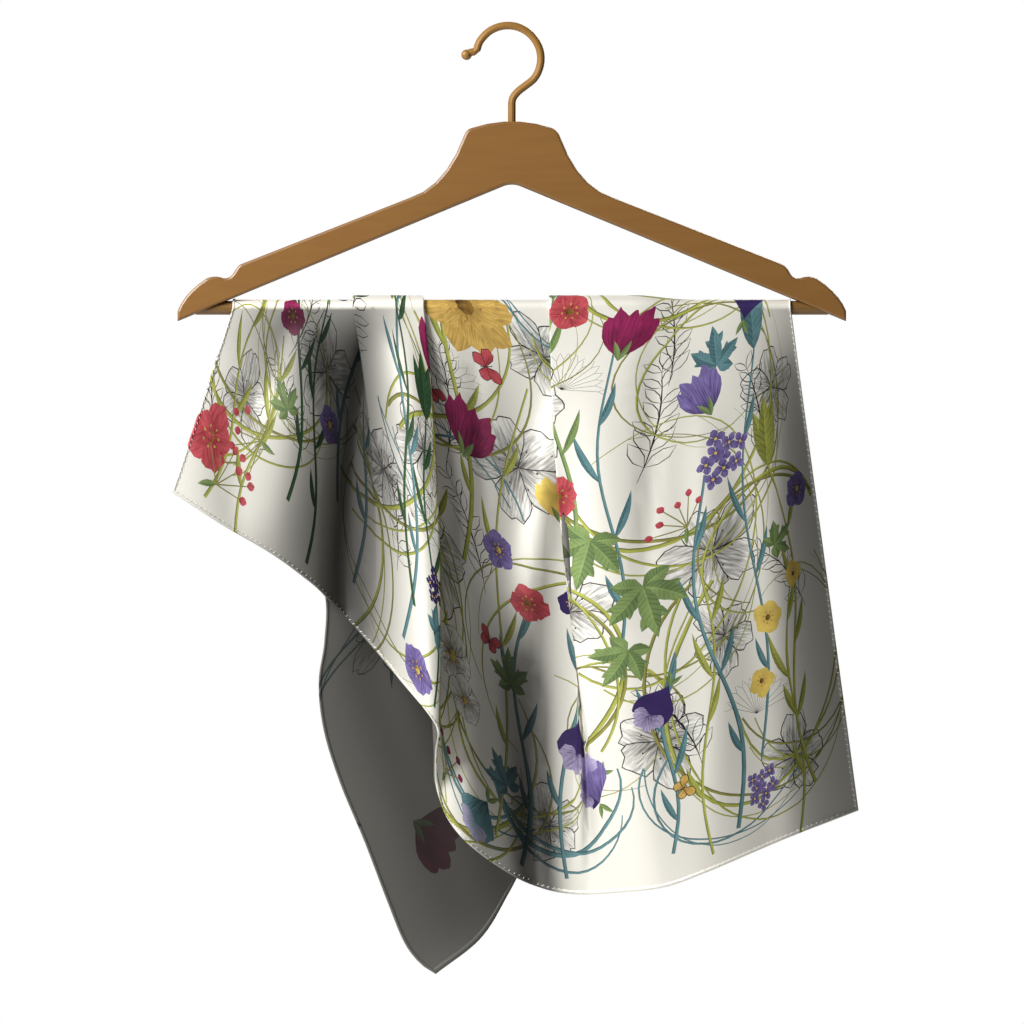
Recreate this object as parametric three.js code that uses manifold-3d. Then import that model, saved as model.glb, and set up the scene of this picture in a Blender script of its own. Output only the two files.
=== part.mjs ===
// Silk square scarf with a rolled hem, draped over the trouser bar of a wooden hanger.
// Millimetres, +Z up. The front of the cloth faces -Y. The origin is inside the top of the hook.

import * as THREE from 'three';
import { mergeVertices } from 'three/addons/utils/BufferGeometryUtils.js';
import Module from 'manifold-3d';

const wasm = await Module();
wasm.setup();

// Driving dimensions of the hanger

const HANGER_SPAN = 450;
const HANGER_THICKNESS = 14;
const HANGER_CENTRE_X = 2.6;
const HANGER_DATUM_Z = -186.8;
const EDGE_BEVEL = 1.6;
const BAR_DIAMETER = 9.4;
const BAR_Z = -187.6;
const BAR_LENGTH = 426;
const BAR_CENTRE = new THREE.Vector3(HANGER_CENTRE_X, 0, BAR_Z);
const SOCKET_CLEARANCE = 0.3;

// Driving dimensions of the hook

const WIRE_DIAMETER = 5.2;
const BOW_RADIUS = 22.2;
const HOOK_TIP_DIAMETER = 7.2;
const SHANK_BOTTOM_Z = -82;

// Driving dimensions of the cloth

const WALL = 1;
const LAYER_PITCH = 1.5;
const BAR_CLEARANCE = 0.3;
const SEAM_GAP = 0.3;
const HEM_WIDTH = 2.4;
const HEM_RISE = 0.8;
const HEM_RAMP = 0.9;

// Height and half width of the wooden body's outline, seen from the front.
// x is measured from the hanger's centre line and z from its datum line.

const ARM_OUTLINE = {
  tip: { x: HANGER_SPAN / 2, z: -3 },
  tipFoot: { x: HANGER_SPAN / 2, z: -9.6 },
  apex: { x: 5, z: 81.6 },
  apexTop: 83.2,
  shoulder: { x: 205.5, z: 18.8 },
  shoulderBend: { x: 220, z: 9.5 },
  notchOuter: { x: 199.8, z: 21.3 },
  notchFloor: { x: 193.8, z: 18.9 },
  notchFoot: { x: 189.4, z: 18.6 },
  notchWall: { x: 186.6, z: 23.6 },
  notchLip: { x: 184.3, z: 28 },
  notchInner: { x: 181.6, z: 28.7 },
  upperEdgeEnd: { x: 69, z: 73 },
  neckBend: { x: 44.6, z: 80.6 },
  neckTop: { x: 32, z: 115.4 },
  crownCorner: { x: 30.6, z: 119 },
  crownStart: { x: 27.4, z: 120 },
  crownTop: 124.6,
};

// Folds where the cloth crosses the bar. The cloth turns back at each x, and runs on at the next layer.

const BAR_FOLDS = [
  { fold: 'first pleat, hidden turn', x: -84.4, layer: 1 },
  { fold: 'first pleat, seen edge', x: -104.4, layer: 2 },
  { fold: 'second pleat, seen edge', x: -56.6, layer: 1 },
  { fold: 'second pleat, hidden turn', x: -78.6, layer: 0 },
  { fold: 'third pleat, hidden turn', x: 77.4, layer: 1 },
  { fold: 'third pleat, seen edge', x: 27.8, layer: 2 },
];
const BAR_LEFT_X = -185.4;
const BAR_RIGHT_X = 190.4;
const LAST_LAYER_FALL = { from: 86, to: 122 };

// One row for each rib of the cloth, from its left edge to its right edge. run is the way along
// the folded bar line, front and back are the rib's ends at the two hems, and bow moves its middle.

const RIBS = [
  { run: 0, frontX: -226.4, frontZ: -311.7, frontY: -10, bow: 0.5, backX: -49, backZ: -638, backY: 22 },
  { run: 25, frontX: -192, frontZ: -334, frontY: -13, bow: 0, backX: -18.6, backZ: -614.6, backY: 34 },
  { run: 53, frontX: -157.6, frontZ: -354.2, frontY: -12, bow: 0, backX: 0.6, backZ: -584, backY: 42 },
  { run: 73, frontX: -130.7, frontZ: -374.4, frontY: -5, bow: 0, backX: 12, backZ: -562, backY: 36 },
  { run: 82, frontX: -122.6, frontZ: -382.5, frontY: -1, bow: 0, backX: 18, backZ: -552, backY: 28 },
  { run: 102, frontX: -107.8, frontZ: -398.6, frontY: 4, bow: 0, backX: 20, backZ: -543, backY: 30 },
  { run: 122, frontX: -91.6, frontZ: -416.1, frontY: 0, bow: 1, backX: 24, backZ: -533, backY: 50 },
  { run: 146, frontX: -72.8, frontZ: -437.7, frontY: -14, bow: 3, backX: 40, backZ: -519, backY: 64 },
  { run: 170, frontX: -47.8, frontZ: -469.4, frontY: -28, bow: 5.4, backX: 66, backZ: -493, backY: 58 },
  { run: 183, frontX: -48.6, frontZ: -486.9, frontY: -14, bow: 5, backX: 68, backZ: -473, backY: 40 },
  { run: 195, frontX: -48.4, frontZ: -508.4, frontY: 2, bow: 4, backX: 64, backZ: -447, backY: 24 },
  { run: 220, frontX: -40.4, frontZ: -532.7, frontY: 6, bow: 2, backX: 78, backZ: -426, backY: 16 },
  { run: 258, frontX: -18.9, frontZ: -555.6, frontY: 5, bow: -3, backX: 100, backZ: -412, backY: 18 },
  { run: 302, frontX: 14.8, frontZ: -576.5, frontY: 4, bow: -8, backX: 113, backZ: -405, backY: 26 },
  { run: 352, frontX: 45.1, frontZ: -582.5, frontY: -4, bow: -10, backX: 106, backZ: -402, backY: 46 },
  { run: 402, frontX: 75.5, frontZ: -580.5, frontY: -17, bow: -10.5, backX: 108, backZ: -392, backY: 66 },
  { run: 440, frontX: 105.1, frontZ: -576.5, frontY: -27, bow: -6, backX: 130, backZ: -400, backY: 70 },
  { run: 480, frontX: 133.4, frontZ: -566.4, frontY: -31, bow: -3, backX: 150, backZ: -420, backY: 52 },
  { run: 515, frontX: 164.4, frontZ: -553.6, frontY: -24, bow: -1, backX: 151, backZ: -436, backY: 25 },
  { run: 545, frontX: 196.7, frontZ: -540.8, frontY: -7, bow: 0, backX: 165, backZ: -450, backY: 18 },
  { run: 564.1, frontX: 237.1, frontZ: -527.3, frontY: 14, bow: 0, backX: 178, backZ: -459, backY: 38 },
];

// The loose left edge behind swings out to the left and back in, by this much down its height.

const BACK_EDGE_SWING = [
  { down: 0, left: 0 },
  { down: 0.3, left: -4 },
  { down: 0.43, left: -3 },
  { down: 0.5, left: 7 },
  { down: 0.56, left: 19 },
  { down: 0.63, left: 25.5 },
  { down: 0.71, left: 25.5 },
  { down: 0.8, left: 21 },
  { down: 0.9, left: 17.5 },
  { down: 0.955, left: 14.5 },
  { down: 0.985, left: 8 },
  { down: 1, left: 0 },
];
const SWING_FADES_BY_RUN = 84;

// The parts of each panel, by their way along the folded bar line. They are a seam gap apart.

const FRONT_PARTS = [
  { part: 'scarf_front_left', from: 0, to: 92 },
  { part: 'scarf_front_pleat', from: 92, to: 182 },
  { part: 'scarf_front_middle', from: 182, to: 335 },
  { part: 'scarf_front_right', from: 335, to: 480 },
  { part: 'scarf_front_edge', from: 480, to: 565 },
];
const BACK_PARTS = [
  { part: 'scarf_back_left', from: 0, to: 60 },
  { part: 'scarf_back_pleat', from: 60, to: 150 },
  { part: 'scarf_back_hollow', from: 150, to: 230 },
  { part: 'scarf_back_middle', from: 230, to: 320 },
  { part: 'scarf_back_right', from: 320, to: 430 },
  { part: 'scarf_back_edge', from: 430, to: 565 },
];
const PART_GAP = 0.6;

// How finely the walls are cut up

const STRIP_LENGTH = 17;
const STRIPS_PER_TURN = 3;
const PANEL_ROWS = 12;
const OVER_BAR_ROWS = 6;

// Materials

const silkFront = new THREE.MeshStandardMaterial({ color: 0xdedbd3, roughness: 0.45, metalness: 0 });
const silkTop = new THREE.MeshStandardMaterial({ color: 0xc9c6bd, roughness: 0.45, metalness: 0 });
const silkBack = new THREE.MeshStandardMaterial({ color: 0xd5d2ca, roughness: 0.45, metalness: 0 });
const brownWood = new THREE.MeshStandardMaterial({ color: 0x85622f, roughness: 0.5, metalness: 0 });
const barWood = new THREE.MeshStandardMaterial({ color: 0x7a5a30, roughness: 0.5, metalness: 0 });
const brownWire = new THREE.MeshStandardMaterial({ color: 0x8a6636, roughness: 0.4, metalness: 0.2 });

// A smooth curve through one column of a table, read at any value of its key column

function smoothColumn(rows, keyOf, valueOf) {
  const keys = rows.map(keyOf);
  const values = rows.map(valueOf);
  const last = keys.length - 1;
  const slopes = keys.map((key, i) => {
    const before = Math.max(i - 1, 0);
    const after = Math.min(i + 1, last);
    return (values[after] - values[before]) / (keys[after] - keys[before]);
  });
  return (at) => {
    let i = 0;
    while (i < last - 1 && at > keys[i + 1]) i += 1;
    const width = keys[i + 1] - keys[i];
    const t = Math.min(Math.max((at - keys[i]) / width, 0), 1);
    const t2 = t * t;
    const t3 = t2 * t;
    return (2 * t3 - 3 * t2 + 1) * values[i] + (t3 - 2 * t2 + t) * width * slopes[i]
      + (3 * t2 - 2 * t3) * values[i + 1] + (t3 - t2) * width * slopes[i + 1];
  };
}

function smoothStep(at, from, to) {
  const t = Math.min(Math.max((at - from) / (to - from), 0), 1);
  return t * t * (3 - 2 * t);
}

// The bar line as legs and half turns, each with its length

function barLinePieces() {
  const turnRadius = LAYER_PITCH / 2;
  const pieces = [];
  let x = BAR_LEFT_X;
  let layer = 0;
  let direction = 1;
  for (const fold of BAR_FOLDS) {
    const end = fold.x - direction * turnRadius;
    pieces.push({ kind: 'leg', from: x, to: end, layer, length: Math.abs(end - x) });
    pieces.push({ kind: 'turn', x: end, direction, layer, next: fold.layer, length: Math.PI * turnRadius });
    x = end;
    layer = fold.layer;
    direction = -direction;
  }
  pieces.push({ kind: 'leg', from: x, to: BAR_RIGHT_X, layer, length: Math.abs(BAR_RIGHT_X - x) });
  return pieces;
}

const BAR_LINE = barLinePieces();
const BAR_LINE_LENGTH = BAR_LINE.reduce((sum, piece) => sum + piece.length, 0);

// Where the cloth is on the bar line: its x, and how far its layer lifts it off the bar

function onBarLine(run) {
  let left = Math.min(Math.max(run, 0), BAR_LINE_LENGTH);
  let index = 0;
  while (index < BAR_LINE.length - 1 && left > BAR_LINE[index].length) {
    left -= BAR_LINE[index].length;
    index += 1;
  }
  const piece = BAR_LINE[index];
  const share = left / piece.length;
  if (piece.kind === 'turn') {
    const angle = Math.PI * share;
    const middle = (piece.layer + piece.next) / 2;
    const half = (piece.layer - piece.next) / 2;
    return {
      x: piece.x + piece.direction * Math.sin(angle) * LAYER_PITCH / 2,
      lift: (middle + half * Math.cos(angle)) * LAYER_PITCH,
    };
  }
  const x = piece.from + (piece.to - piece.from) * share;
  const isLastLeg = index === BAR_LINE.length - 1;
  const fall = isLastLeg ? smoothStep(x, LAST_LAYER_FALL.from, LAST_LAYER_FALL.to) : 0;
  return { x, lift: piece.layer * (1 - fall) * LAYER_PITCH };
}

const ribRun = (row) => row.run;
const frontX = smoothColumn(RIBS, ribRun, (row) => row.frontX);
const frontY = smoothColumn(RIBS, ribRun, (row) => row.frontY);
const frontZ = smoothColumn(RIBS, ribRun, (row) => row.frontZ);
const frontBow = smoothColumn(RIBS, ribRun, (row) => row.bow);
const backX = smoothColumn(RIBS, ribRun, (row) => row.backX);
const backY = smoothColumn(RIBS, ribRun, (row) => row.backY);
const backZ = smoothColumn(RIBS, ribRun, (row) => row.backZ);
const edgeSwing = smoothColumn(BACK_EDGE_SWING, (row) => row.down, (row) => row.left);

const CLOTH_RADIUS = BAR_DIAMETER / 2 + BAR_CLEARANCE + WALL / 2;

// The middle surface of each stretch, for a rib at run and a share of the way down it

function frontSheet(run, down) {
  const bar = onBarLine(run);
  const top = BAR_Z - SEAM_GAP / 2;
  const bow = 4 * down * (1 - down) * frontBow(run);
  return new THREE.Vector3(
    bar.x + (frontX(run) - bar.x) * down + bow,
    -(CLOTH_RADIUS + bar.lift) * (1 - down) + frontY(run) * down,
    top + (frontZ(run) - top) * down,
  );
}

function backSheet(run, down) {
  const bar = onBarLine(run);
  const top = BAR_Z - SEAM_GAP / 2;
  const swing = edgeSwing(down) * (1 - smoothStep(run, 0, SWING_FADES_BY_RUN));
  return new THREE.Vector3(
    bar.x + (backX(run) - bar.x) * down - swing,
    (CLOTH_RADIUS + bar.lift) * (1 - down) + backY(run) * down,
    top + (backZ(run) - top) * down,
  );
}

function overBarSheet(run, across) {
  const bar = onBarLine(run);
  const radius = CLOTH_RADIUS + bar.lift;
  const seam = SEAM_GAP / 2 / radius;
  const angle = seam + (Math.PI - 2 * seam) * across;
  return new THREE.Vector3(bar.x, -radius * Math.cos(angle), BAR_Z + radius * Math.sin(angle));
}

// The ribs that a wall is cut into: close together at each turn, and at the rolled hem on each side

function ribRuns(part) {
  const runs = [0];
  let start = 0;
  for (const piece of BAR_LINE) {
    const strips = piece.kind === 'turn' ? STRIPS_PER_TURN : Math.ceil(piece.length / STRIP_LENGTH);
    for (let strip = 1; strip <= strips; strip += 1) {
      runs.push(start + piece.length * strip / strips);
    }
    start += piece.length;
  }
  const hemSteps = [HEM_WIDTH, HEM_WIDTH + HEM_RAMP];
  const nearRight = hemSteps.map((step) => BAR_LINE_LENGTH - step);
  const first = part.from > 0 ? part.from + PART_GAP / 2 : 0;
  const last = part.to < BAR_LINE_LENGTH ? part.to - PART_GAP / 2 : BAR_LINE_LENGTH;
  const inside = [...runs, ...hemSteps, ...nearRight].filter((run) => run > first + 1 && run < last - 1);
  return [first, ...inside, last].sort((a, b) => a - b);
}

function evenShares(count) {
  return Array.from({ length: count + 1 }, (unused, i) => i / count);
}

// How far a point's outer side is raised: the rolled hem stands proud along the cloth's edges

function hemRise(distanceToEdge) {
  return HEM_RISE * (1 - smoothStep(distanceToEdge, HEM_WIDTH, HEM_WIDTH + HEM_RAMP));
}

// A closed wall on a middle surface: outer and inner skins and a rim all round.
// sheet(run, down) gives the surface, and side is -1 where its outer side faces -Y.

function clothWall(sheet, side, shares, hasHem, part) {
  const runs = ribRuns(part);
  const small = 0.02;
  const tiny = 0.0005;
  const outer = [];
  const inner = [];
  for (const run of runs) {
    const ribLength = sheet(run, 0).distanceTo(sheet(run, 1));
    const hemShares = hasHem ? [1 - HEM_WIDTH / ribLength, 1 - (HEM_WIDTH + HEM_RAMP) / ribLength] : [];
    const downs = [...shares, ...hemShares].sort((a, b) => a - b);
    const edgeDistance = Math.min(run, BAR_LINE_LENGTH - run);
    const outerRib = [];
    const innerRib = [];
    for (const down of downs) {
      const middle = sheet(run, down);
      const alongRib = sheet(run, down + tiny).sub(sheet(run, down - tiny));
      const acrossRibs = sheet(Math.min(run + small, BAR_LINE_LENGTH), down);
      acrossRibs.sub(sheet(Math.max(run - small, 0), down));
      const normal = acrossRibs.cross(alongRib).normalize();
      const rise = hasHem ? Math.max(hemRise(edgeDistance), hemRise(ribLength * (1 - down))) : 0;
      outerRib.push(middle.clone().addScaledVector(normal, side * (WALL / 2 + rise)));
      innerRib.push(middle.clone().addScaledVector(normal, -side * WALL / 2));
    }
    outer.push(outerRib);
    inner.push(innerRib);
  }
  return closedWall(outer, inner);
}

function closedWall(outer, inner) {
  const ribs = outer.length;
  const rows = outer[0].length;
  const points = [...outer.flat(), ...inner.flat()];
  const innerStart = ribs * rows;
  const at = (rib, row) => rib * rows + row;
  const indices = [];
  const quad = (a, b, c, d) => indices.push(a, b, c, a, c, d);
  for (let rib = 0; rib < ribs - 1; rib += 1) {
    for (let row = 0; row < rows - 1; row += 1) {
      quad(at(rib, row), at(rib, row + 1), at(rib + 1, row + 1), at(rib + 1, row));
      quad(
        innerStart + at(rib, row), innerStart + at(rib + 1, row),
        innerStart + at(rib + 1, row + 1), innerStart + at(rib, row + 1),
      );
    }
  }
  const rim = (a, b) => quad(a, b, innerStart + b, innerStart + a);
  for (let rib = 0; rib < ribs - 1; rib += 1) {
    rim(at(rib, 0), at(rib + 1, 0));
    rim(at(rib + 1, rows - 1), at(rib, rows - 1));
  }
  for (let row = 0; row < rows - 1; row += 1) {
    rim(at(0, row + 1), at(0, row));
    rim(at(ribs - 1, row), at(ribs - 1, row + 1));
  }
  const geometry = new THREE.BufferGeometry();
  geometry.setAttribute('position', new THREE.Float32BufferAttribute(points.flatMap((p) => p.toArray()), 3));
  geometry.setIndex(indices);
  return facingOut(geometry);
}

// Turns a closed mesh round if its faces point in

function facingOut(geometry) {
  const position = geometry.getAttribute('position');
  const index = geometry.getIndex();
  const corner = (i) => new THREE.Vector3().fromBufferAttribute(position, index.getX(i));
  let volume = 0;
  for (let i = 0; i < index.count; i += 3) {
    volume += corner(i).dot(corner(i + 1).cross(corner(i + 2)));
  }
  if (volume < 0) {
    for (let i = 0; i < index.count; i += 3) {
      const second = index.getX(i + 1);
      index.setX(i + 1, index.getX(i + 2));
      index.setX(i + 2, second);
    }
  }
  return geometry;
}

// Cutting and joining of closed solids

function mergedCopy(geometry) {
  const bare = new THREE.BufferGeometry();
  bare.setAttribute('position', geometry.getAttribute('position').clone());
  if (geometry.getIndex()) bare.setIndex(geometry.getIndex().clone());
  return mergeVertices(bare, 1e-4);
}

function toManifold(geometry) {
  const merged = mergedCopy(geometry);
  return new wasm.Manifold(new wasm.Mesh({
    numProp: 3,
    vertProperties: new Float32Array(merged.getAttribute('position').array),
    triVerts: new Uint32Array(merged.getIndex().array),
  }));
}

function fromManifold(solid) {
  const mesh = solid.getMesh();
  const geometry = new THREE.BufferGeometry();
  geometry.setAttribute('position', new THREE.BufferAttribute(mesh.vertProperties, 3));
  geometry.setIndex(new THREE.BufferAttribute(mesh.triVerts, 1));
  return geometry;
}

// A round rod along X or Z, centred on a point

function rod(radius, length, axis, centre) {
  const geometry = new THREE.CylinderGeometry(radius, radius, length, 20);
  if (axis === 'x') geometry.rotateZ(Math.PI / 2);
  if (axis === 'z') geometry.rotateX(Math.PI / 2);
  geometry.translate(centre.x, centre.y, centre.z);
  return geometry;
}

// The wooden body: an arched board with bevelled edges, strap notches, and sockets for bar and hook

function hangerOutline() {
  const o = ARM_OUTLINE;
  const shape = new THREE.Shape();
  const half = (side, visit) => visit((p) => [side * p.x, p.z]);
  shape.moveTo(-o.tipFoot.x, o.tipFoot.z);
  shape.lineTo(-o.apex.x, o.apex.z);
  shape.quadraticCurveTo(0, o.apexTop, o.apex.x, o.apex.z);
  shape.lineTo(o.tipFoot.x, o.tipFoot.z);
  half(1, (at) => {
    shape.lineTo(...at(o.tip));
    shape.quadraticCurveTo(...at(o.shoulderBend), ...at(o.shoulder));
    shape.quadraticCurveTo(...at(o.notchOuter), ...at(o.notchFloor));
    shape.quadraticCurveTo(...at(o.notchFoot), ...at(o.notchWall));
    shape.quadraticCurveTo(...at(o.notchLip), ...at(o.notchInner));
    shape.lineTo(...at(o.upperEdgeEnd));
    shape.quadraticCurveTo(...at(o.neckBend), ...at(o.neckTop));
    shape.quadraticCurveTo(...at(o.crownCorner), ...at(o.crownStart));
  });
  shape.quadraticCurveTo(0, 2 * o.crownTop - o.crownStart.z, -o.crownStart.x, o.crownStart.z);
  half(-1, (at) => {
    shape.quadraticCurveTo(...at(o.crownCorner), ...at(o.neckTop));
    shape.quadraticCurveTo(...at(o.neckBend), ...at(o.upperEdgeEnd));
    shape.lineTo(...at(o.notchInner));
    shape.quadraticCurveTo(...at(o.notchLip), ...at(o.notchWall));
    shape.quadraticCurveTo(...at(o.notchFoot), ...at(o.notchFloor));
    shape.quadraticCurveTo(...at(o.notchOuter), ...at(o.shoulder));
    shape.quadraticCurveTo(...at(o.shoulderBend), ...at(o.tip));
  });
  shape.closePath();
  return shape;
}

function hangerBody() {
  const board = new THREE.ExtrudeGeometry(hangerOutline(), {
    depth: HANGER_THICKNESS - 2 * EDGE_BEVEL,
    bevelEnabled: true,
    bevelThickness: EDGE_BEVEL,
    bevelSize: EDGE_BEVEL,
    bevelOffset: -EDGE_BEVEL,
    bevelSegments: 2,
    curveSegments: 5,
  });
  board.translate(0, 0, -(HANGER_THICKNESS - 2 * EDGE_BEVEL) / 2);
  board.rotateX(Math.PI / 2);
  board.translate(HANGER_CENTRE_X, 0, HANGER_DATUM_Z);
  const barRoom = BAR_DIAMETER / 2 + SOCKET_CLEARANCE;
  const barSockets = rod(barRoom, BAR_LENGTH + 2 * SOCKET_CLEARANCE, 'x', BAR_CENTRE);
  const holeTop = HANGER_DATUM_Z + ARM_OUTLINE.crownTop + 5;
  const holeBottom = SHANK_BOTTOM_Z - SOCKET_CLEARANCE;
  const holeCentre = new THREE.Vector3(HANGER_CENTRE_X, 0, (holeTop + holeBottom) / 2);
  const hookHole = rod(WIRE_DIAMETER / 2 + SOCKET_CLEARANCE, holeTop - holeBottom, 'z', holeCentre);
  const cut = toManifold(board).subtract(toManifold(barSockets)).subtract(toManifold(hookHole));
  return fromManifold(cut);
}

// The hook: a bow of wire that ends in a small ball, on a straight shank in the body's top

class HookRoute extends THREE.Curve {
  constructor() {
    super();
    const bowCentreZ = WIRE_DIAMETER / 2 - BOW_RADIUS;
    const onBow = (degrees) => {
      const angle = THREE.MathUtils.degToRad(degrees);
      return new THREE.Vector3(BOW_RADIUS * Math.cos(angle), 0, bowCentreZ + BOW_RADIUS * Math.sin(angle));
    };
    this.route = new THREE.CatmullRomCurve3([
      new THREE.Vector3(-27.8, 0, -17),
      new THREE.Vector3(-25, 0, -15.4),
      onBow(167),
      onBow(150),
      onBow(125),
      onBow(100),
      onBow(75),
      onBow(50),
      onBow(25),
      onBow(2),
      onBow(-20),
      onBow(-38),
      new THREE.Vector3(12, 0, -37.8),
      new THREE.Vector3(6.4, 0, -42.2),
      new THREE.Vector3(HANGER_CENTRE_X + 0.4, 0, -47),
      new THREE.Vector3(HANGER_CENTRE_X, 0, -54),
      new THREE.Vector3(HANGER_CENTRE_X, 0, -66),
      new THREE.Vector3(HANGER_CENTRE_X, 0, SHANK_BOTTOM_Z),
    ], false, 'centripetal');
  }

  getPoint(t, target = new THREE.Vector3()) {
    return this.route.getPoint(t, target);
  }
}

function hook() {
  const section = new THREE.Shape();
  section.absarc(0, 0, WIRE_DIAMETER / 2, 0, Math.PI * 2, false);
  const wire = new THREE.ExtrudeGeometry(section, {
    steps: 52,
    curveSegments: 6,
    bevelEnabled: false,
    extrudePath: new HookRoute(),
  });
  const ball = new THREE.SphereGeometry(HOOK_TIP_DIAMETER / 2, 14, 8);
  ball.translate(-27.9, 0, -17.1);
  return fromManifold(toManifold(facingOut(mergedCopy(wire))).add(toManifold(ball)));
}

// Putting the named pieces together

const scarfOnHanger = new THREE.Group();

function addPiece(name, geometry, material) {
  const mesh = new THREE.Mesh(geometry, material);
  mesh.name = name;
  scarfOnHanger.add(mesh);
}

addPiece('hanger_body', hangerBody(), brownWood);
addPiece('trouser_bar', rod(BAR_DIAMETER / 2, BAR_LENGTH, 'x', BAR_CENTRE), barWood);
addPiece('hook', hook(), brownWire);
for (const part of FRONT_PARTS) {
  addPiece(part.part, clothWall(frontSheet, -1, evenShares(PANEL_ROWS), true, part), silkFront);
}
const wholeWidth = { from: 0, to: BAR_LINE_LENGTH };
addPiece('scarf_over_bar', clothWall(overBarSheet, 1, evenShares(OVER_BAR_ROWS), false, wholeWidth), silkTop);
for (const part of BACK_PARTS) {
  addPiece(part.part, clothWall(backSheet, 1, evenShares(PANEL_ROWS), true, part), silkBack);
}

export default scarfOnHanger;
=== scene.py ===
"""Silk square scarf with a rolled hem, draped over the trouser bar of a wooden hanger."""

import logging
import math
from collections.abc import Callable
from dataclasses import dataclass, field
from enum import Enum

import bmesh
import bpy
import numpy as np
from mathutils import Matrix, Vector
from mathutils.geometry import delaunay_2d_cdt

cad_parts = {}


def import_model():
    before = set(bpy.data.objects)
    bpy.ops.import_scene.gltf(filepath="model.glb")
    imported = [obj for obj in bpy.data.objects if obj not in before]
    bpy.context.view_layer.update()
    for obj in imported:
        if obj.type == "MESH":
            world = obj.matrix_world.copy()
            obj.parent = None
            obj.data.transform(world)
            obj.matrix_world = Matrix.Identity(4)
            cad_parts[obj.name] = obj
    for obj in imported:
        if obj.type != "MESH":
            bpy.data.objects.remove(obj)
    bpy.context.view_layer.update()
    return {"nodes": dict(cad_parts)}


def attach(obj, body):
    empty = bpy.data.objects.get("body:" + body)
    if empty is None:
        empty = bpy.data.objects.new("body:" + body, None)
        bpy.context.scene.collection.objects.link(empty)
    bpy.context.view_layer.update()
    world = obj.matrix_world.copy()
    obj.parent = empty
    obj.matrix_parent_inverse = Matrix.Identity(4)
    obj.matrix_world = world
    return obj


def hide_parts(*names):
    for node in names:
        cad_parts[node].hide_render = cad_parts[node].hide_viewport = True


log = logging.getLogger("scarf")
MM = 0.001
PRINT_SEED = 11
STITCH_SEED = 5


class Ink(Enum):
    """The single colours of the print."""

    IVORY = "#f1efe9"
    WHITE = "#fbfaf6"
    LINE = "#1d1b1b"
    GREY_LINE = "#6b6966"
    OLIVE = "#9b9950"
    OLIVE_DEEP = "#4b5220"
    LIME = "#b9bd5c"
    TEAL = "#6b969e"
    TEAL_DEEP = "#1d4650"
    LEAF = "#8ca466"
    LEAF_DEEP = "#3b5836"
    PINE = "#3e6440"
    PINE_DEEP = "#14291c"
    WINE = "#a02862"
    WINE_DEEP = "#4f0b2c"
    CORAL = "#d45c66"
    CORAL_DEEP = "#8a1f2b"
    YELLOW = "#ecd36c"
    GOLD = "#e0bb68"
    GOLD_DEEP = "#94722f"
    VIOLET = "#8c7dbd"
    VIOLET_DEEP = "#372661"
    LILAC = "#beb2d8"
    BROWN = "#8a4b2a"
    BROWN_DEEP = "#3f1d10"


@dataclass(frozen=True)
class Dye:
    """A colour of the print, and the one that shades it."""

    ink: Ink
    deep: Ink


DYES = {
    "olive": Dye(Ink.LIME, Ink.OLIVE_DEEP),
    "moss": Dye(Ink.OLIVE, Ink.OLIVE_DEEP),
    "teal": Dye(Ink.TEAL, Ink.TEAL_DEEP),
    "pine": Dye(Ink.PINE, Ink.PINE_DEEP),
    "leaf": Dye(Ink.LEAF, Ink.LEAF_DEEP),
    "wine": Dye(Ink.WINE, Ink.WINE_DEEP),
    "coral": Dye(Ink.CORAL, Ink.CORAL_DEEP),
    "yellow": Dye(Ink.YELLOW, Ink.GOLD),
    "gold": Dye(Ink.GOLD, Ink.GOLD_DEEP),
    "violet": Dye(Ink.VIOLET, Ink.VIOLET_DEEP),
    "purple": Dye(Ink.VIOLET_DEEP, Ink.VIOLET_DEEP),
    "white": Dye(Ink.WHITE, Ink.GREY_LINE),
    "brown": Dye(Ink.BROWN, Ink.BROWN_DEEP),
    "line": Dye(Ink.LINE, Ink.LINE),
}


class Brush(Enum):
    """How a painted patch is shaded. The value is kept in the ink's alpha."""

    FLAT = 0.0
    STEM = 0.25
    LEAF = 0.5
    PETAL = 0.75


class Stretch(Enum):
    """The two pieces that the square is shown in. They meet in an unseen line behind the bar."""

    FRONT = "scarf_front_and_top"
    BACK = "scarf_behind"


CLOTH_NODES = {
    Stretch.FRONT: (
        "scarf_front_left", "scarf_front_pleat", "scarf_front_middle", "scarf_front_right",
        "scarf_front_edge", "scarf_over_bar",
    ),
    Stretch.BACK: (
        "scarf_back_left", "scarf_back_pleat", "scarf_back_hollow", "scarf_back_middle",
        "scarf_back_right", "scarf_back_edge",
    ),
}


def linear(code: str) -> tuple[float, float, float]:
    """Turns an sRGB hex code into linear colour.

    Args:
        code: The colour as #rrggbb.

    Returns:
        Red, green and blue, each from 0 to 1.
    """
    parts = [int(code[i : i + 2], 16) / 255 for i in (1, 3, 5)]
    return tuple(c / 12.92 if c <= 0.04045 else ((c + 0.055) / 1.055) ** 2.4 for c in parts)


def polar(angle: float, length: float = 1.0) -> np.ndarray:
    """Gives the step of this length that points this way on the flat square."""
    return length * np.array([math.cos(angle), math.sin(angle)])


def add_object(name: str, data: bpy.types.ID) -> bpy.types.Object:
    """Makes an object of this data and puts it into the scene.

    Args:
        name: Its name.
        data: Its mesh, lamp or camera.

    Returns:
        The object.
    """
    made = bpy.data.objects.new(name, data)
    bpy.context.collection.objects.link(made)
    return made


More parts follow.
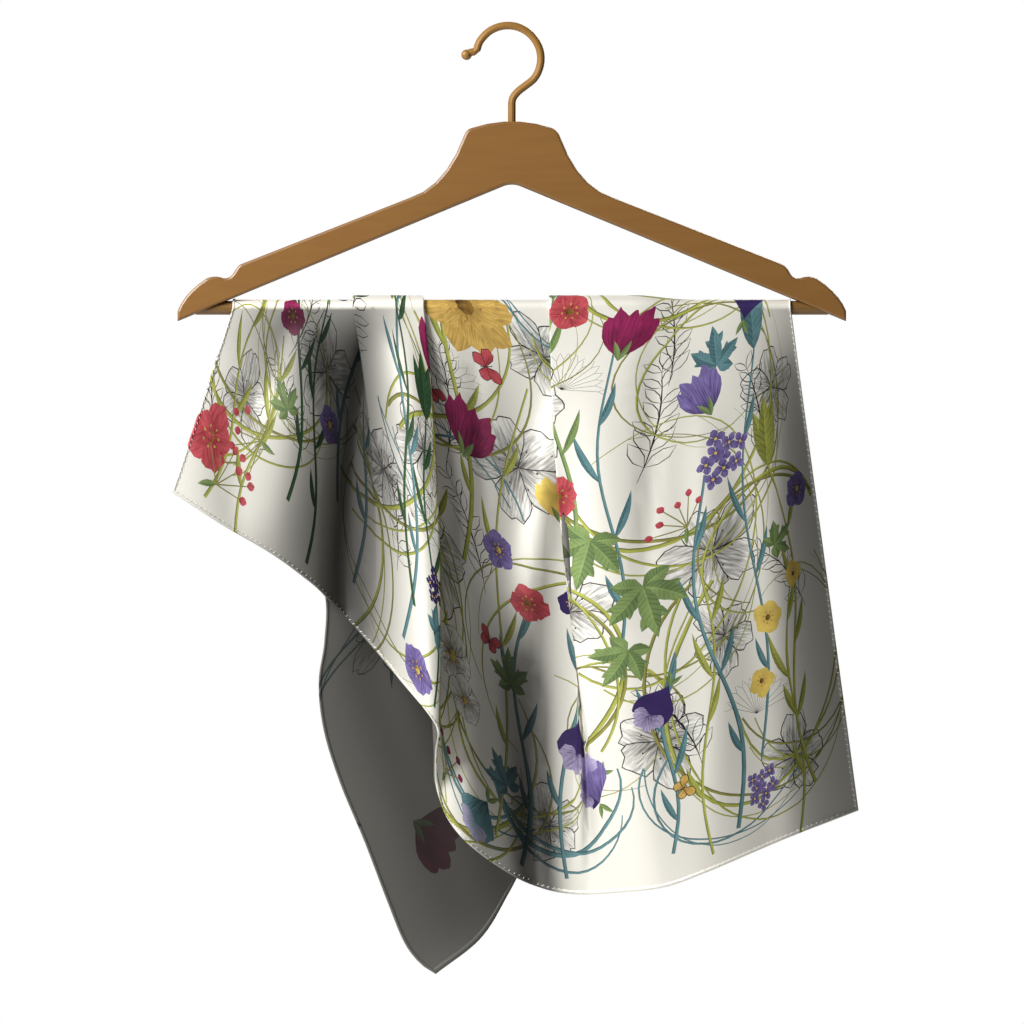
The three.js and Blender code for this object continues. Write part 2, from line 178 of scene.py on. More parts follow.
def read_all(items: bpy.types.bpy_prop_collection, name: str, width: int = 1) -> np.ndarray:
    """Reads whole numbers, or rows of width decimals, of all faces or corners of a mesh.

    Args:
        items: The faces or corners.
        name: The property.
        width: How many values each of them has.

    Returns:
        One value or row for each.
    """
    values = np.zeros(len(items) * width, int if width == 1 else float)
    items.foreach_get(name, values)
    return values if width == 1 else values.reshape(-1, width)


def smooth_step(at: np.ndarray, start: float, end: float) -> np.ndarray:
    """Runs smoothly from 0 at start to 1 at end."""
    t = np.clip((at - start) / (end - start), 0, 1)
    return t * t * (3 - 2 * t)


class SmoothTable:
    """A smooth curve through one column of a table."""

    def __init__(self, keys: list[float], values: list[float]) -> None:
        """Takes the key column and the value column.

        Args:
            keys: The keys, rising.
            values: The value at each key.
        """
        self.keys = np.array(keys, float)
        self.values = np.array(values, float)
        last = len(keys) - 1
        before = np.maximum(np.arange(last + 1) - 1, 0)
        after = np.minimum(np.arange(last + 1) + 1, last)
        rise = self.values[after] - self.values[before]
        self.slopes = rise / (self.keys[after] - self.keys[before])

    def at(self, key: np.ndarray) -> np.ndarray:
        """Reads the curve.

        Args:
            key: Where to read it.

        Returns:
            The value at each key.
        """
        i = np.clip(np.searchsorted(self.keys, key) - 1, 0, len(self.keys) - 2)
        width = self.keys[i + 1] - self.keys[i]
        t = np.clip((key - self.keys[i]) / width, 0, 1)
        t2, t3 = t * t, t * t * t
        ends = (2 * t3 - 3 * t2 + 1) * self.values[i] + (3 * t2 - 2 * t3) * self.values[i + 1]
        bends = (t3 - 2 * t2 + t) * self.slopes[i] + (t3 - t2) * self.slopes[i + 1]
        return ends + bends * width


@dataclass(frozen=True)
class ClothSizes:
    """Sizes of the silk square, in millimetres."""

    side: float = 650.0
    over_bar: float = 16.5
    half_thickness: float = 0.22
    inner_thickness: float = 0.5
    hem_width: float = 2.4
    hem_rise: float = 0.75
    grid: float = 7.5
    bar_z: float = -187.6
    bar_radius: float = 4.7
    clearance: float = 0.6
    layer_pitch: float = 1.5


# One row for each rib of the cloth, from its left edge to its right edge: the way along the folded
# bar line, the way across the flat square, the length of the rib in front of the bar, where it ends
# at the front hem, how its middle bows, and where it ends at the back hem.
RIB_COLUMNS = (
    "run", "across", "front", "front_x", "front_z", "front_y", "bow", "back_x", "back_z", "back_y",
)
RIBS = (
    (0, 0, 130.6, -226.4, -311.7, -10, 0.5, -49, -638, 22),
    (25, 42, 150.6, -192, -334, -13, 0, -18.6, -614.6, 34),
    (53, 82.9, 169.3, -157.6, -354.2, -12, 0, 0.6, -584, 42),
    (73, 118.1, 188.4, -130.7, -374.4, -5, 0, 12, -562, 36),
    (82, 130.5, 196.6, -122.6, -382.5, -1, 0, 18, -552, 28),
    (102, 153.6, 213.4, -107.8, -398.6, 4, 0, 20, -543, 30),
    (122, 178.3, 229.8, -91.6, -416.1, 0, 1, 24, -533, 50),
    (146, 211, 251.2, -72.8, -437.7, -14, 3, 40, -519, 64),
    (170, 254.7, 283.6, -47.8, -469.4, -28, 5.4, 66, -493, 58),
    (183, 277.8, 300.7, -48.6, -486.9, -14, 5, 68, -473, 40),
    (195, 305.3, 323.1, -48.4, -508.4, 2, 4, 64, -447, 24),
    (220, 332, 346.4, -40.4, -532.7, 6, 2, 78, -426, 16),
    (258, 364.2, 369, -18.9, -555.6, 5, -3, 100, -412, 18),
    (302, 404.9, 390, 14.8, -576.5, 4, -8, 113, -405, 26),
    (352, 437.6, 397.1, 45.1, -582.5, -4, -10, 106, -402, 46),
    (402, 471, 396.7, 75.5, -580.5, -17, -10.5, 108, -392, 66),
    (440, 502.8, 391.9, 105.1, -576.5, -27, -6, 130, -400, 70),
    (480, 533.5, 380.9, 133.4, -566.4, -31, -3, 150, -420, 52),
    (515, 568.9, 367.6, 164.4, -553.6, -24, -1, 151, -436, 25),
    (545, 605.9, 354.8, 196.7, -540.8, -7, 0, 165, -450, 18),
    (564.1, 650, 343.4, 237.1, -527.3, 14, 0, 178, -459, 38),
)

# Where the cloth turns back on the bar, and the layer that it runs on at.
BAR_FOLDS = ((-84.4, 1), (-104.4, 2), (-56.6, 1), (-78.6, 0), (77.4, 1), (27.8, 2))
BAR_ENDS = (-185.4, 190.4)
LAST_LAYER_FALL = (86, 122)
RUN_LENGTH = 564.1

# The loose left edge behind swings out to the left and back in, by this much down its height.
EDGE_SWING_DOWN = (0, 0.3, 0.43, 0.5, 0.56, 0.63, 0.71, 0.8, 0.9, 0.955, 0.985, 1)
EDGE_SWING_LEFT = (0, -4, -3, 7, 19, 25.5, 25.5, 21, 17.5, 14.5, 8, 0)
SWING_FADES_BY_RUN = 84

# The pleats beside the deep valley in front open soon under the bar: how far their ribs bow
# sideways.
OPENING_RUN = (0, 60, 82, 102, 122, 146, 168, 184, 200, 565)
OPENING_BOW = (0, 0, -3, -8, 6, 2, 0, 0, 0, 0)


# The rows of painted fold shade use this too, with depth as the share of lightness taken off the
# colour.
@dataclass(frozen=True)
class Crease:
    """A soft ridge or trough of the cloth.

    Its middle runs from one place to the other. A place is the way along the bar line in
    millimetres and the share of the way down from the bar. Depth is towards the outside.
    """

    run_from: float
    down_from: float
    run_to: float
    down_to: float
    width: float
    depth: float
    sway: float = 0.0


# One row for each crease of a piece, in the order of the values of Crease.
CREASES = {
    Stretch.FRONT: (
        (52, 0.06, 58, 1.1, 18, 7, 3), (103, 0.04, 96, 1.15, 17, -12, 2),
        (156, 0.06, 162, 1.1, 15, 7, -2), (22, 0.3, 30, 1.0, 12, -2.5, -4),
        (236, 0.45, 246, 1.1, 20, 8, 4), (300, 0.55, 312, 1.15, 17, -11, 3),
        (318, 0.14, 300, 0.8, 13, 5.5, -4), (408, 0.3, 372, 0.95, 9, -4.5, 5),
        (432, 0.12, 430, 1.1, 26, 3.5, 0), (500, 0.2, 492, 0.9, 15, 2.4, 6),
        (572, 0.04, 574, 1.3, 17, -15, 0), (545, 0.25, 547, 1.4, 16, 6, 0),
        (470, 0.02, 452, 0.5, 9, -1.6, 3), (246, 0.02, 262, 0.4, 8, -1.5, 2),
        (40, 0.0, 30, 0.45, 9, -1.6, 2),
    ),
    Stretch.BACK: (
        (24, 0.3, 30, 1.0, 12, 3, 3), (74, 0.25, 84, 1.0, 10, -3, 2),
        (120, 0.2, 118, 1.1, 10, -5, 2), (150, 0.12, 158, 1.1, 12, 8, 3),
        (184, 0.2, 186, 1.1, 10, -7, 1), (210, 0.18, 214, 1.1, 10, 6, 3),
        (240, 0.2, 244, 1.1, 11, -5, 2), (272, 0.15, 270, 1.1, 11, 8, 4),
        (302, 0.2, 306, 1.1, 10, -8, 2), (332, 0.16, 330, 1.1, 11, 9, 3),
        (362, 0.2, 360, 1.1, 10, -9, 2), (390, 0.14, 392, 1.1, 10, 8, -3),
        (420, 0.2, 418, 1.1, 11, -9, 2), (450, 0.15, 448, 1.1, 11, 9, 3),
        (482, 0.2, 484, 1.1, 11, -7, 2), (512, 0.18, 514, 1.1, 11, 7, 3),
        (540, 0.25, 540, 1.1, 9, -5, 1),
    ),
}

# Painted shade deep in the folds: depth is the share of lightness taken off the silk's colour.
FOLD_SHADE_PAINT = {
    Stretch.FRONT: (
        (116, -0.2, 103, 1.3, 40, 0.88), (254, 0.06, 268, 1.2, 38, 0.6),
        (306, 0.5, 324, 1.5, 31, 0.92), (368, 0.25, 376, 0.9, 16, 0.45),
        (574, -0.3, 580, 1.5, 34, 0.56), (24, -0.4, 40, 0.3, 50, 0.3),
        (46, -0.2, 46, 1.5, 46, 0.48), (470, 0.02, 452, 0.5, 9, 0.12),
    ),
    Stretch.BACK: (
        (62, 0.0, 66, 1.4, 52, 0.8), (120, 0.2, 118, 1.1, 12, 0.25), (184, 0.2, 186, 1.1, 12, 0.3),
        (240, 0.2, 244, 1.1, 12, 0.25), (302, 0.2, 306, 1.1, 12, 0.3),
        (362, 0.2, 360, 1.1, 12, 0.3), (420, 0.2, 418, 1.1, 12, 0.3),
        (482, 0.2, 484, 1.1, 12, 0.25),
    ),
}
MOST_PAINTED_SHADE = 0.9

# The creases fade in between these shares of the way down from the bar.
CREASE_START = (0.015, 0.14)


class Drape:
    """Places the flat silk square on the hanger's bar."""

    def __init__(self, sizes: ClothSizes) -> None:
        """Takes the cloth's sizes.

        Args:
            sizes: The cloth's sizes.
        """
        self.sizes = sizes
        column = {name: [row[i] for row in RIBS] for i, name in enumerate(RIB_COLUMNS)}
        self.columns = column
        self.tables = {name: SmoothTable(column["run"], column[name]) for name in RIB_COLUMNS[3:]}
        self.swing = SmoothTable(list(EDGE_SWING_DOWN), list(EDGE_SWING_LEFT))
        self.opening = SmoothTable(list(OPENING_RUN), list(OPENING_BOW))
        self.radius = sizes.bar_radius + sizes.clearance
        self.legs = self._bar_legs()

    def rib(self, name: str, at: np.ndarray, key: str = "across") -> np.ndarray:
        """Reads one column of the ribs at places of another one."""
        return np.interp(at, self.columns[key], self.columns[name])

    def _bar_legs(self) -> list[tuple[float, float, float, float, float]]:
        """Lists the legs and half turns of the cloth along the bar.

        Returns:
            For each, its length, its x at the start, its way (half for a turn), and its layers.
        """
        turn = self.sizes.layer_pitch / 2
        legs = []
        x, layer, way = BAR_ENDS[0], 0, 1
        for fold_x, next_layer in BAR_FOLDS:
            end = fold_x - way * turn
            legs.append((abs(end - x), x, way, layer, layer))
            legs.append((math.pi * turn, end, 0.5 * way, layer, next_layer))
            x, layer, way = end, next_layer, -way
        legs.append((abs(BAR_ENDS[1] - x), x, way, layer, layer))
        return legs

    def on_bar(self, run: np.ndarray) -> tuple[np.ndarray, np.ndarray]:
        """Finds x and the lift of the cloth's layer where it crosses the bar.

        Args:
            run: The way along the folded bar line.

        Returns:
            x, and how far the layer lies off the bar.
        """
        pitch = self.sizes.layer_pitch
        along = np.clip(run, 0, RUN_LENGTH)
        x = np.zeros_like(along)
        lift = np.zeros_like(along)
        start = 0.0
        for length, from_x, way, layer, next_layer in self.legs:
            here = (along >= start) & (along <= start + length + 0.1)
            share = (along[here] - start) / length
            if abs(way) == 1:
                x[here] = from_x + way * length * share
                fall = smooth_step(x[here], *LAST_LAYER_FALL) if layer == 2 and from_x > 0 else 0
                lift[here] = layer * (1 - fall) * pitch
            else:
                angle = math.pi * share
                x[here] = from_x + 2 * way * np.sin(angle) * pitch / 2
                middle, half = (layer + next_layer) / 2, (layer - next_layer) / 2
                lift[here] = (middle + half * np.cos(angle)) * pitch
            start += length
        return x, lift

    def place(self, across: np.ndarray, along: np.ndarray) -> tuple[np.ndarray, np.ndarray]:
        """Turns flat places into places on the draped cloth.

        Args:
            across: The way across the flat square.
            along: The way along it, from the front hem to the back hem.

        Returns:
            The run along the bar line, and the way along the rib: 0 to 1 in front of the bar from
            hem to bar, 1 to 2 over it, and 2 to 3 behind it down to the hem.
        """
        run, front = self.rib("run", across), self.rib("front", across)
        over = self.sizes.over_bar
        back = self.sizes.side - front - over
        beyond = along - front - over
        way = np.where(along < front, along / front, 1 + (along - front) / over)
        return run, np.where(beyond > 0, 2 + beyond / back, way)

    def crease_depth(self, run: np.ndarray, way: np.ndarray) -> np.ndarray:
        """Adds up how far the creases move the cloth outwards."""
        down = np.maximum(1 - way, way - 2)
        return self._add_up(CREASES, run, way) * smooth_step(down, *CREASE_START)

    def painted_shade_share(self, run: np.ndarray, way: np.ndarray) -> np.ndarray:
        """Finds how much painted shade darkens the silk's colour deep in a fold, from 0 to 1."""
        return np.clip(self._add_up(FOLD_SHADE_PAINT, run, way), 0, MOST_PAINTED_SHADE)

    @staticmethod
    def _add_up(table: dict[Stretch, tuple], run: np.ndarray, way: np.ndarray) -> np.ndarray:
        """Adds up the depth of creases, or of painted fold shade, at places of the cloth.

        Args:
            table: The rows of creases, or of painted fold shade, of each piece.
            run: The way along the bar line.
            way: The way along the rib, from 0 to 3.

        Returns:
            The sum at each place.
        """
        depth = np.zeros_like(run)
        for stretch, rows in table.items():
            down = 1 - way if stretch is Stretch.FRONT else way - 2
            for crease in (Crease(*row) for row in rows):
                length = crease.down_to - crease.down_from
                share = np.clip((down - crease.down_from) / length, -0.5, 1.5)
                middle = crease.run_from + (crease.run_to - crease.run_from) * share
                middle = middle + crease.sway * np.sin(math.pi * np.clip(share, 0, 1))
                taper = smooth_step(share, -0.12, 0.2) * (1 - smooth_step(share, 0.75, 1.2))
                off = (run - middle) / crease.width
                depth += np.where(down > 0, crease.depth * taper * np.exp(-off * off), 0)
        return depth

    def middle(self, run: np.ndarray, way: np.ndarray) -> np.ndarray:
        """Finds points on the cloth's middle surface, in millimetres.

        Args:
            run: The way along the bar line.
            way: The way along the rib, from 0 to 3.

        Returns:
            An array of points.
        """
        read = {name: table.at(run) for name, table in self.tables.items()}
        bar_x, lift = self.on_bar(run)
        radius = self.radius + lift
        bar_z = self.sizes.bar_z

        def hang(part: str, share: np.ndarray, bar_y: np.ndarray, aside: np.ndarray) -> np.ndarray:
            """Finds points on the cloth that hangs in front of the bar or behind it.

            Args:
                part: Front or back.
                share: The share of the way down.
                bar_y: Where it leaves the bar.
                aside: How far it bows to the right.

            Returns:
                An array of points.
            """
            x = bar_x + (read[f"{part}_x"] - bar_x) * share + aside
            y = bar_y * (1 - share) + read[f"{part}_y"] * share
            return np.stack([x, y, bar_z + (read[f"{part}_z"] - bar_z) * share], -1)

        down = np.clip(1 - way, 0, 1)
        bow = 4 * down * (1 - down) * (read["bow"] + self.opening.at(run))
        front = hang("front", down, -radius, bow)
        angle = math.pi * np.clip(way - 1, 0, 1)
        over = np.stack([bar_x, -radius * np.cos(angle), bar_z + radius * np.sin(angle)], -1)
        fall = np.clip(way - 2, 0, 1)
        swing = self.swing.at(fall) * (1 - smooth_step(run, 0, SWING_FADES_BY_RUN))
        back = hang("back", fall, radius, -swing)
        points = np.where((way < 1)[:, None], front, np.where((way > 2)[:, None], back, over))
        outward = np.stack([np.zeros_like(angle), -np.cos(angle), np.sin(angle)], -1)
        return points + outward * self.crease_depth(run, way)[:, None]

    def normal(
        self, run: np.ndarray, way: np.ndarray, surface: Callable | None = None
    ) -> np.ndarray:
        """Finds the outward direction of the cloth.

        Args:
            run: The way along the bar line.
            way: The way along the rib.
            surface: The surface to measure, the middle one if none is given.

        Returns:
            An array of unit directions.
        """
        surface = surface or self.middle
        step_run, step_way = 0.05, 0.0006
        low, high = np.maximum(run - step_run, 0), np.minimum(run + step_run, RUN_LENGTH)
        along_bar = surface(high, way) - surface(low, way)
        first, second = np.maximum(way - step_way, 0), np.minimum(way + step_way, 3)
        along_rib = surface(run, second) - surface(run, first)
        found = np.cross(along_bar, along_rib)
        return found / np.linalg.norm(found, axis=1, keepdims=True)

    def hem_share(self, run: np.ndarray, way: np.ndarray) -> np.ndarray:
        """Finds how much of the rolled hem's rise there is, from 0 to 1.

        Args:
            run: The way along the bar line.
            way: The way along the rib, from 0 to 3.

        Returns:
            The share at each place.
        """
        across, front = self.rib("across", run, "run"), self.rib("front", run, "run")
        back = self.sizes.side - front - self.sizes.over_bar
        to_side = np.minimum(across, self.sizes.side - across)
        to_end = np.where(way < 1.5, way * front, (3 - way) * back)
        distance = np.clip(np.minimum(to_side, to_end) / self.sizes.hem_width, 0, 1)
        return np.sqrt(np.clip(1 - (2 * distance - 1) ** 2, 0, 1))

    def skin(self, run: np.ndarray, way: np.ndarray, side: float) -> np.ndarray:
        """Finds points on the outer skin (side 1) or the inner skin (side -1).

        Args:
            run: The way along the bar line.
            way: The way along the rib, from 0 to 3.
            side: Which skin.

        Returns:
            An array of points.
        """
        plain = self.sizes.half_thickness if side > 0 else self.sizes.inner_thickness
        thickness = plain + self.sizes.hem_rise * self.hem_share(run, way)
        return self.middle(run, way) + side * thickness[:, None] * self.normal(run, way)

    def skin_normal(self, run: np.ndarray, way: np.ndarray, side: float) -> np.ndarray:
        """Finds the direction that a skin faces."""
        return side * self.normal(run, way, lambda r, w: self.skin(r, w, side))


# A leaf or petal shows through the silk from this area on, and any other patch from the second.
BROAD_LEAF = 40
BROAD_PATCH = 330


@dataclass
class Patch:
    """A painted patch of the print: its outline on the flat square and how it is painted."""

    outline: np.ndarray
    dye: Dye
    brush: Brush
    locate: Callable[[np.ndarray], np.ndarray]
    chance: float = 0.0

    @property
    def is_broad(self) -> bool:
        """Tells whether it is so broad that it shows through the silk.

        Returns:
            True if it shows through.
        """
        x, y = self.outline.T
        area = abs((x * np.roll(y, -1) - y * np.roll(x, -1)).sum() / 2)
        return area > (BROAD_LEAF if self.brush in (Brush.LEAF, Brush.PETAL) else BROAD_PATCH)


def ribbon_patch(spine: np.ndarray, half: np.ndarray, dye: Dye, brush: Brush) -> Patch:
    """Makes a patch that follows a curve, such as a stem or a leaf.

    Args:
        spine: Points along its middle.
        half: Half its width at each point.
        dye: Its colours.
        brush: How it is shaded.

    Returns:
        The patch.
    """
    way = np.gradient(spine, axis=0)
    way /= np.linalg.norm(way, axis=1, keepdims=True)
    across = np.stack([-way[:, 1], way[:, 0]], 1) * half[:, None]
    left, right = spine + across, (spine - across)[::-1]
    if half[-1] < 0.05:
        right = right[1:]
    if half[0] < 0.05:
        right = right[:-1]

    def locate(points: np.ndarray) -> np.ndarray:
        """Finds the share along and the share across of points near the ribbon.

        Args:
            points: Places on the flat square.

        Returns:
            Two shares for each place.
        """
        start, step = spine[:-1], np.diff(spine, axis=0)
        from_start = points[:, None, :] - start[None]
        share = np.clip((from_start * step).sum(2) / (step * step).sum(1), 0, 1)
        gap = from_start - share[:, :, None] * step
        nearest = (gap * gap).sum(2).argmin(1)
        row = np.arange(len(points))
        share = share[row, nearest]
        side = step[nearest, 0] * gap[row, nearest, 1] - step[nearest, 1] * gap[row, nearest, 0]
        wide = half[nearest] * (1 - share) + half[nearest + 1] * share
        off = np.linalg.norm(gap[row, nearest], axis=1) * np.sign(side)
        return np.stack([(nearest + share) / (len(spine) - 1), off / np.maximum(wide, 0.05)], 1)

    return Patch(np.vstack([left, right]), dye, brush, locate)


class FlatPrint:
    """The painted garden on the flat square, built up patch by patch."""

    def __init__(self, seed: int) -> None:
        """Takes the seed of its small unevenness."""
        self.chance = np.random.default_rng(seed)
        self.patches: list[Patch] = []

    def add(self, patch: Patch) -> None:
        """Lays a patch over those before it.

        Args:
            patch: The patch. Its outline is turned anticlockwise.
        """
        patch.chance = float(self.chance.random())
        x, y = patch.outline.T
        if (x * np.roll(y, -1) - y * np.roll(x, -1)).sum() < 0:
            patch.outline = patch.outline[::-1]
        self.patches.append(patch)

    def stem(self, spine: np.ndarray, width: float, dye: Dye, taper: float = 0.25) -> None:
        """Paints a stem along a curve, in pieces that don't cross themselves.

        Args:
            spine: Points along the stem.
            width: Its width at the foot.
            dye: Its colours.
            taper: Its width at the tip as a share of the foot's.
        """
        share = np.linspace(0, 1, len(spine))
        half = width / 2 * (1 - (1 - taper) * share**1.6)
        piece = 9
        for start in range(0, len(spine) - 1, piece):
            end = min(start + piece + 1, len(spine))
            if end - start > 1:
                self.add(ribbon_patch(spine[start:end], half[start:end], dye, Brush.STEM))

    def line(self, spine: np.ndarray, width: float, ink: Ink = Ink.LINE) -> None:
        """Draws a thin pen line that swells in its middle.

        Args:
            spine: Points along the line.
            width: Its greatest width.
            ink: Its colour.
        """
        share = np.linspace(0, 1, len(spine))
        half = width / 2 * (0.3 + 0.7 * np.sin(math.pi * share))
        self.add(ribbon_patch(spine, half, Dye(ink, ink), Brush.FLAT))

    def leaf(
        self, foot: np.ndarray, angle: float, length: float, width: float, dye: Dye,
        bend: float = 0.2,
    ) -> None:
        """Paints a pointed leaf.

        Args:
            foot: Where it starts.
            angle: Its way, in radians from the across direction.
            length: Its length.
            width: Its greatest width.
            dye: Its colours.
            bend: How far it turns along its length, in radians.
        """
        count = 8 if length > 20 else 5
        share = np.linspace(0, 1, count)
        turn = angle + bend * share
        step = length / (count - 1) * np.stack([np.cos(turn), np.sin(turn)], 1)
        spine = foot + np.vstack([[0, 0], np.cumsum(step[:-1], axis=0)])
        half = width / 2 * np.sin(math.pi * share**0.8) ** 0.95
        half[0] = 0.25
        half[-1] = 0.0
        self.add(ribbon_patch(spine, half, dye, Brush.LEAF))

    def petal(
        self, foot: np.ndarray, angle: float, length: float, width: float, dye: Dye,
        broad: float = 1.0, ruffle: float = 0.0, inked: float = 0.0, points: int = 0,
    ) -> None:
        """Paints a petal, with a pen line round it where inked is more than 0.

        Args:
            foot: Where it starts.
            angle: Its way, in radians.
            length: Its length.
            width: Its greatest width.
            dye: Its colour, and the one at its foot and in its streaks.
            broad: Over 1 puts its width nearer the tip.
            ruffle: How much its outline waves, as a share.
            inked: The pen line's width.
            points: How many points each of its sides has, or 0 to go by its length.
        """
        points = points or int(np.clip(5 + length / 5, 5, 10))
        share = (1 - np.cos(np.linspace(0, math.pi, points))) / 2
        half = width / 2 * np.sin(math.pi * share**broad) ** 0.8
        left = np.stack([share, half / length], 1)
        right = np.stack([share, -half / length], 1)[::-1][1:-1]
        shape = np.vstack([left, right]) * length
        if ruffle:
            start = self.chance.random() * 6
            round_edge = np.linspace(0, 2 * math.pi, len(shape))
            fine = 0.7 * np.sin(9 * round_edge + 2 * start)
            wave = 1 + ruffle * (np.sin(5 * round_edge + start) + fine)
            shape[1:] *= wave[1:, None]
        along = polar(angle)
        across = np.array([-along[1], along[0]])
        outline = foot + shape[:, :1] * along + shape[:, 1:] * across

        def locate(points_at: np.ndarray) -> np.ndarray:
            """Finds the share along and the share across of points near the petal."""
            off = points_at - foot
            return np.stack([off @ along / length, off @ across / (width / 2)], 1)

        if inked:
            centre = outline.mean(0)
            out = outline - centre
            grown = centre + out * (1 + inked / np.linalg.norm(out, axis=1, keepdims=True))
            self.add(Patch(grown, DYES["line"], Brush.FLAT, locate))
        self.add(Patch(outline, dye, Brush.PETAL, locate))

    def dot(self, centre: np.ndarray, radius: float, dye: Dye, points: int = 8) -> None:
        """Paints a round dot.

        Args:
            centre: Its middle.
            radius: Its radius.
            dye: Its colours.
            points: How many points its outline has.
        """
        turn = np.linspace(0, 2 * math.pi, points, endpoint=False)
        outline = centre + radius * np.stack([np.cos(turn), np.sin(turn)], 1)

        def locate(at: np.ndarray) -> np.ndarray:
            """Finds the shares of the way through the dot, from its lower left."""
            return (at - centre) / radius * 0.5 + 0.5

        self.add(Patch(outline, dye, Brush.PETAL, locate))

    def stroke(
        self, start: np.ndarray, angle: float, length: float, width: float, ink: Ink = Ink.LINE
    ) -> np.ndarray:
        """Draws a straight pen line and gives its end.

        Args:
            start: Where it starts.
            angle: Its way, in radians.
            length: Its length.
            width: Its greatest width.
            ink: Its colour.

        Returns:
            Its end.
        """
        end = start + polar(angle, length)
        self.line(np.linspace(start, end, 2), width, ink)
        return end

    def open_flower(self, at: np.ndarray, size: float, turn: float, dye: Dye) -> None:
        """Paints a flower seen from above, with a heart and stamens.

        Args:
            at: Its middle, or its foot.
            size: Its size.
            turn: Its way, in radians.
            dye: Its colours.
        """
        petals = 9 if dye is DYES["gold"] else 5
        inked = 0.35 if dye is DYES["white"] else 0.0
        has_light_heart = dye in (DYES["violet"], DYES["purple"], DYES["white"])
        width = size * min(0.62, 2.6 / petals)
        for ring, shrink in ((0, 1.0), (1, 0.72)) if petals > 6 else ((0, 1.0),):
            for i in range(petals):
                angle = turn + 2 * math.pi * (i + 0.5 * ring) / petals
                long = size / 2 * shrink * (1 + 0.1 * self.chance.normal())
                self.petal(at, angle, long, width * shrink, dye, 1.5, 0.03, inked)
        for i in range(7 if size > 16 else 0):
            tip = self.stroke(at, turn + 0.9 * i, size * 0.17, 0.7, Ink.GOLD_DEEP)
            self.dot(tip, size * 0.022 + 0.2, Dye(Ink.GOLD, Ink.BROWN), 5)
        heart = Ink.YELLOW if has_light_heart else Ink.GOLD_DEEP
        self.dot(at, size * 0.09, Dye(heart, Ink.BROWN_DEEP))

    def cup_flower(self, at: np.ndarray, size: float, turn: float, dye: Dye) -> None:
        """Paints a tulip or crocus seen from its side.

        Args:
            at: Its middle, or its foot.
            size: Its size.
            turn: Its way, in radians.
            dye: Its colours.
        """
        for spread, long in ((-0.5, 0.86), (0.5, 0.86), (-0.27, 1.0), (0.28, 0.97), (0.0, 0.9)):
            self.petal(at, turn + spread, size * long, size * 0.36, dye, 1.15, 0.02)
        foot = at - polar(turn, size * 0.06)
        for side in (0.35, -0.35):
            self.leaf(foot, turn + side, size * 0.4, size * 0.1, DYES["leaf"])

    def bell_flower(self, at: np.ndarray, size: float, turn: float, dye: Dye) -> None:
        """Paints a bellflower with a flared, lighter rim.

        Args:
            at: Its middle, or its foot.
            size: Its size.
            turn: Its way, in radians.
            dye: Its colours.
        """
        for spread in (-0.42, 0.42, -0.16, 0.16):
            self.petal(at, turn + spread, size, size * 0.46, dye, 1.9, 0.03)
        rim, pale = at + polar(turn, size * 0.8), Dye(Ink.LILAC, dye.ink)
        for spread in (-1.3, -0.5, 0.5, 1.3):
            self.petal(rim, turn + spread, size * 0.42, size * 0.36, pale, 1.4, 0.05)
        for side in (-0.5, 0.5):
            self.leaf(at, turn + math.pi + side, size * 0.35, size * 0.12, DYES["leaf"])

    def lobed_leaf(self, at: np.ndarray, size: float, turn: float, dye: Dye) -> None:
        """Paints a leaf of five pointed lobes, each with two side teeth.

        Args:
            at: Its middle, or its foot.
            size: Its size.
            turn: Its way, in radians.
            dye: Its colours.
        """
        for spread, share in ((-1.9, 0.5), (1.9, 0.5), (-0.95, 0.82), (0.95, 0.82), (0, 1.0)):
            way, long = turn + spread, size * share
            for reach, side in ((0.42, 0.75), (0.5, -0.7)):
                tooth = at + polar(way, long * reach)
                self.leaf(tooth, way + side, long * 0.36, long * 0.2, dye, 0.1)
            self.leaf(at, way, long, size * 0.34, dye, 0.15 * self.chance.normal())

    def cluster(self, at: np.ndarray, size: float, turn: float, dye: Dye) -> None:
        """Paints a head of small four-petalled florets.

        Args:
            at: Its middle, or its foot.
            size: Its size.
            turn: Its way, in radians.
            dye: Its colours.
        """
        for i in range(9):
            angle = turn + 2.4 * i
            spot = at + polar(angle, size * 0.42 * math.sqrt(i / 9))
            for k in range(4):
                way = angle + 1.57 * k
                self.petal(spot, way, size * 0.17, size * 0.15, dye, 1.3, 0.03, points=5)
            self.dot(spot, size * 0.025 + 0.2, DYES["yellow"], 5)

    def butterfly(self, at: np.ndarray, size: float, turn: float, dye: Dye) -> None:
        """Paints a small butterfly.

        Args:
            at: Its middle, or its foot.
            size: Its size.
            turn: Its way, in radians.
            dye: Its colours.
        """
        for spread, long in ((2.2, 0.42), (-2.2, 0.42), (1.0, 0.55), (-1.0, 0.55)):
            self.petal(at, turn + spread, size * long, size * 0.36, dye, 1.6, 0.03, 0.5)
        way = polar(turn)
        self.line(np.array([at - way * size * 0.2, at + way * size * 0.22]), size * 0.08)

    def berries(self, at: np.ndarray, size: float, turn: float, dye: Dye) -> None:
        """Paints a spray of round berries on thin stalks.

        Args:
            at: Its middle, or its foot.
            size: Its size.
            turn: Its way, in radians.
            dye: Its colours.
        """
        for i in range(6):
            way = turn + (i - 2.5) * 0.42
            tip = at + polar(way, size * (0.75 + 0.25 * (i % 2)))
            self.stem(np.linspace(at, tip, 3), 0.9, DYES["moss"], 0.8)
            self.petal(tip, way, size * 0.26, size * 0.24, dye, points=6)
        self.leaf(at, turn + 2.4, size * 0.6, size * 0.18, DYES["leaf"], 0.4)

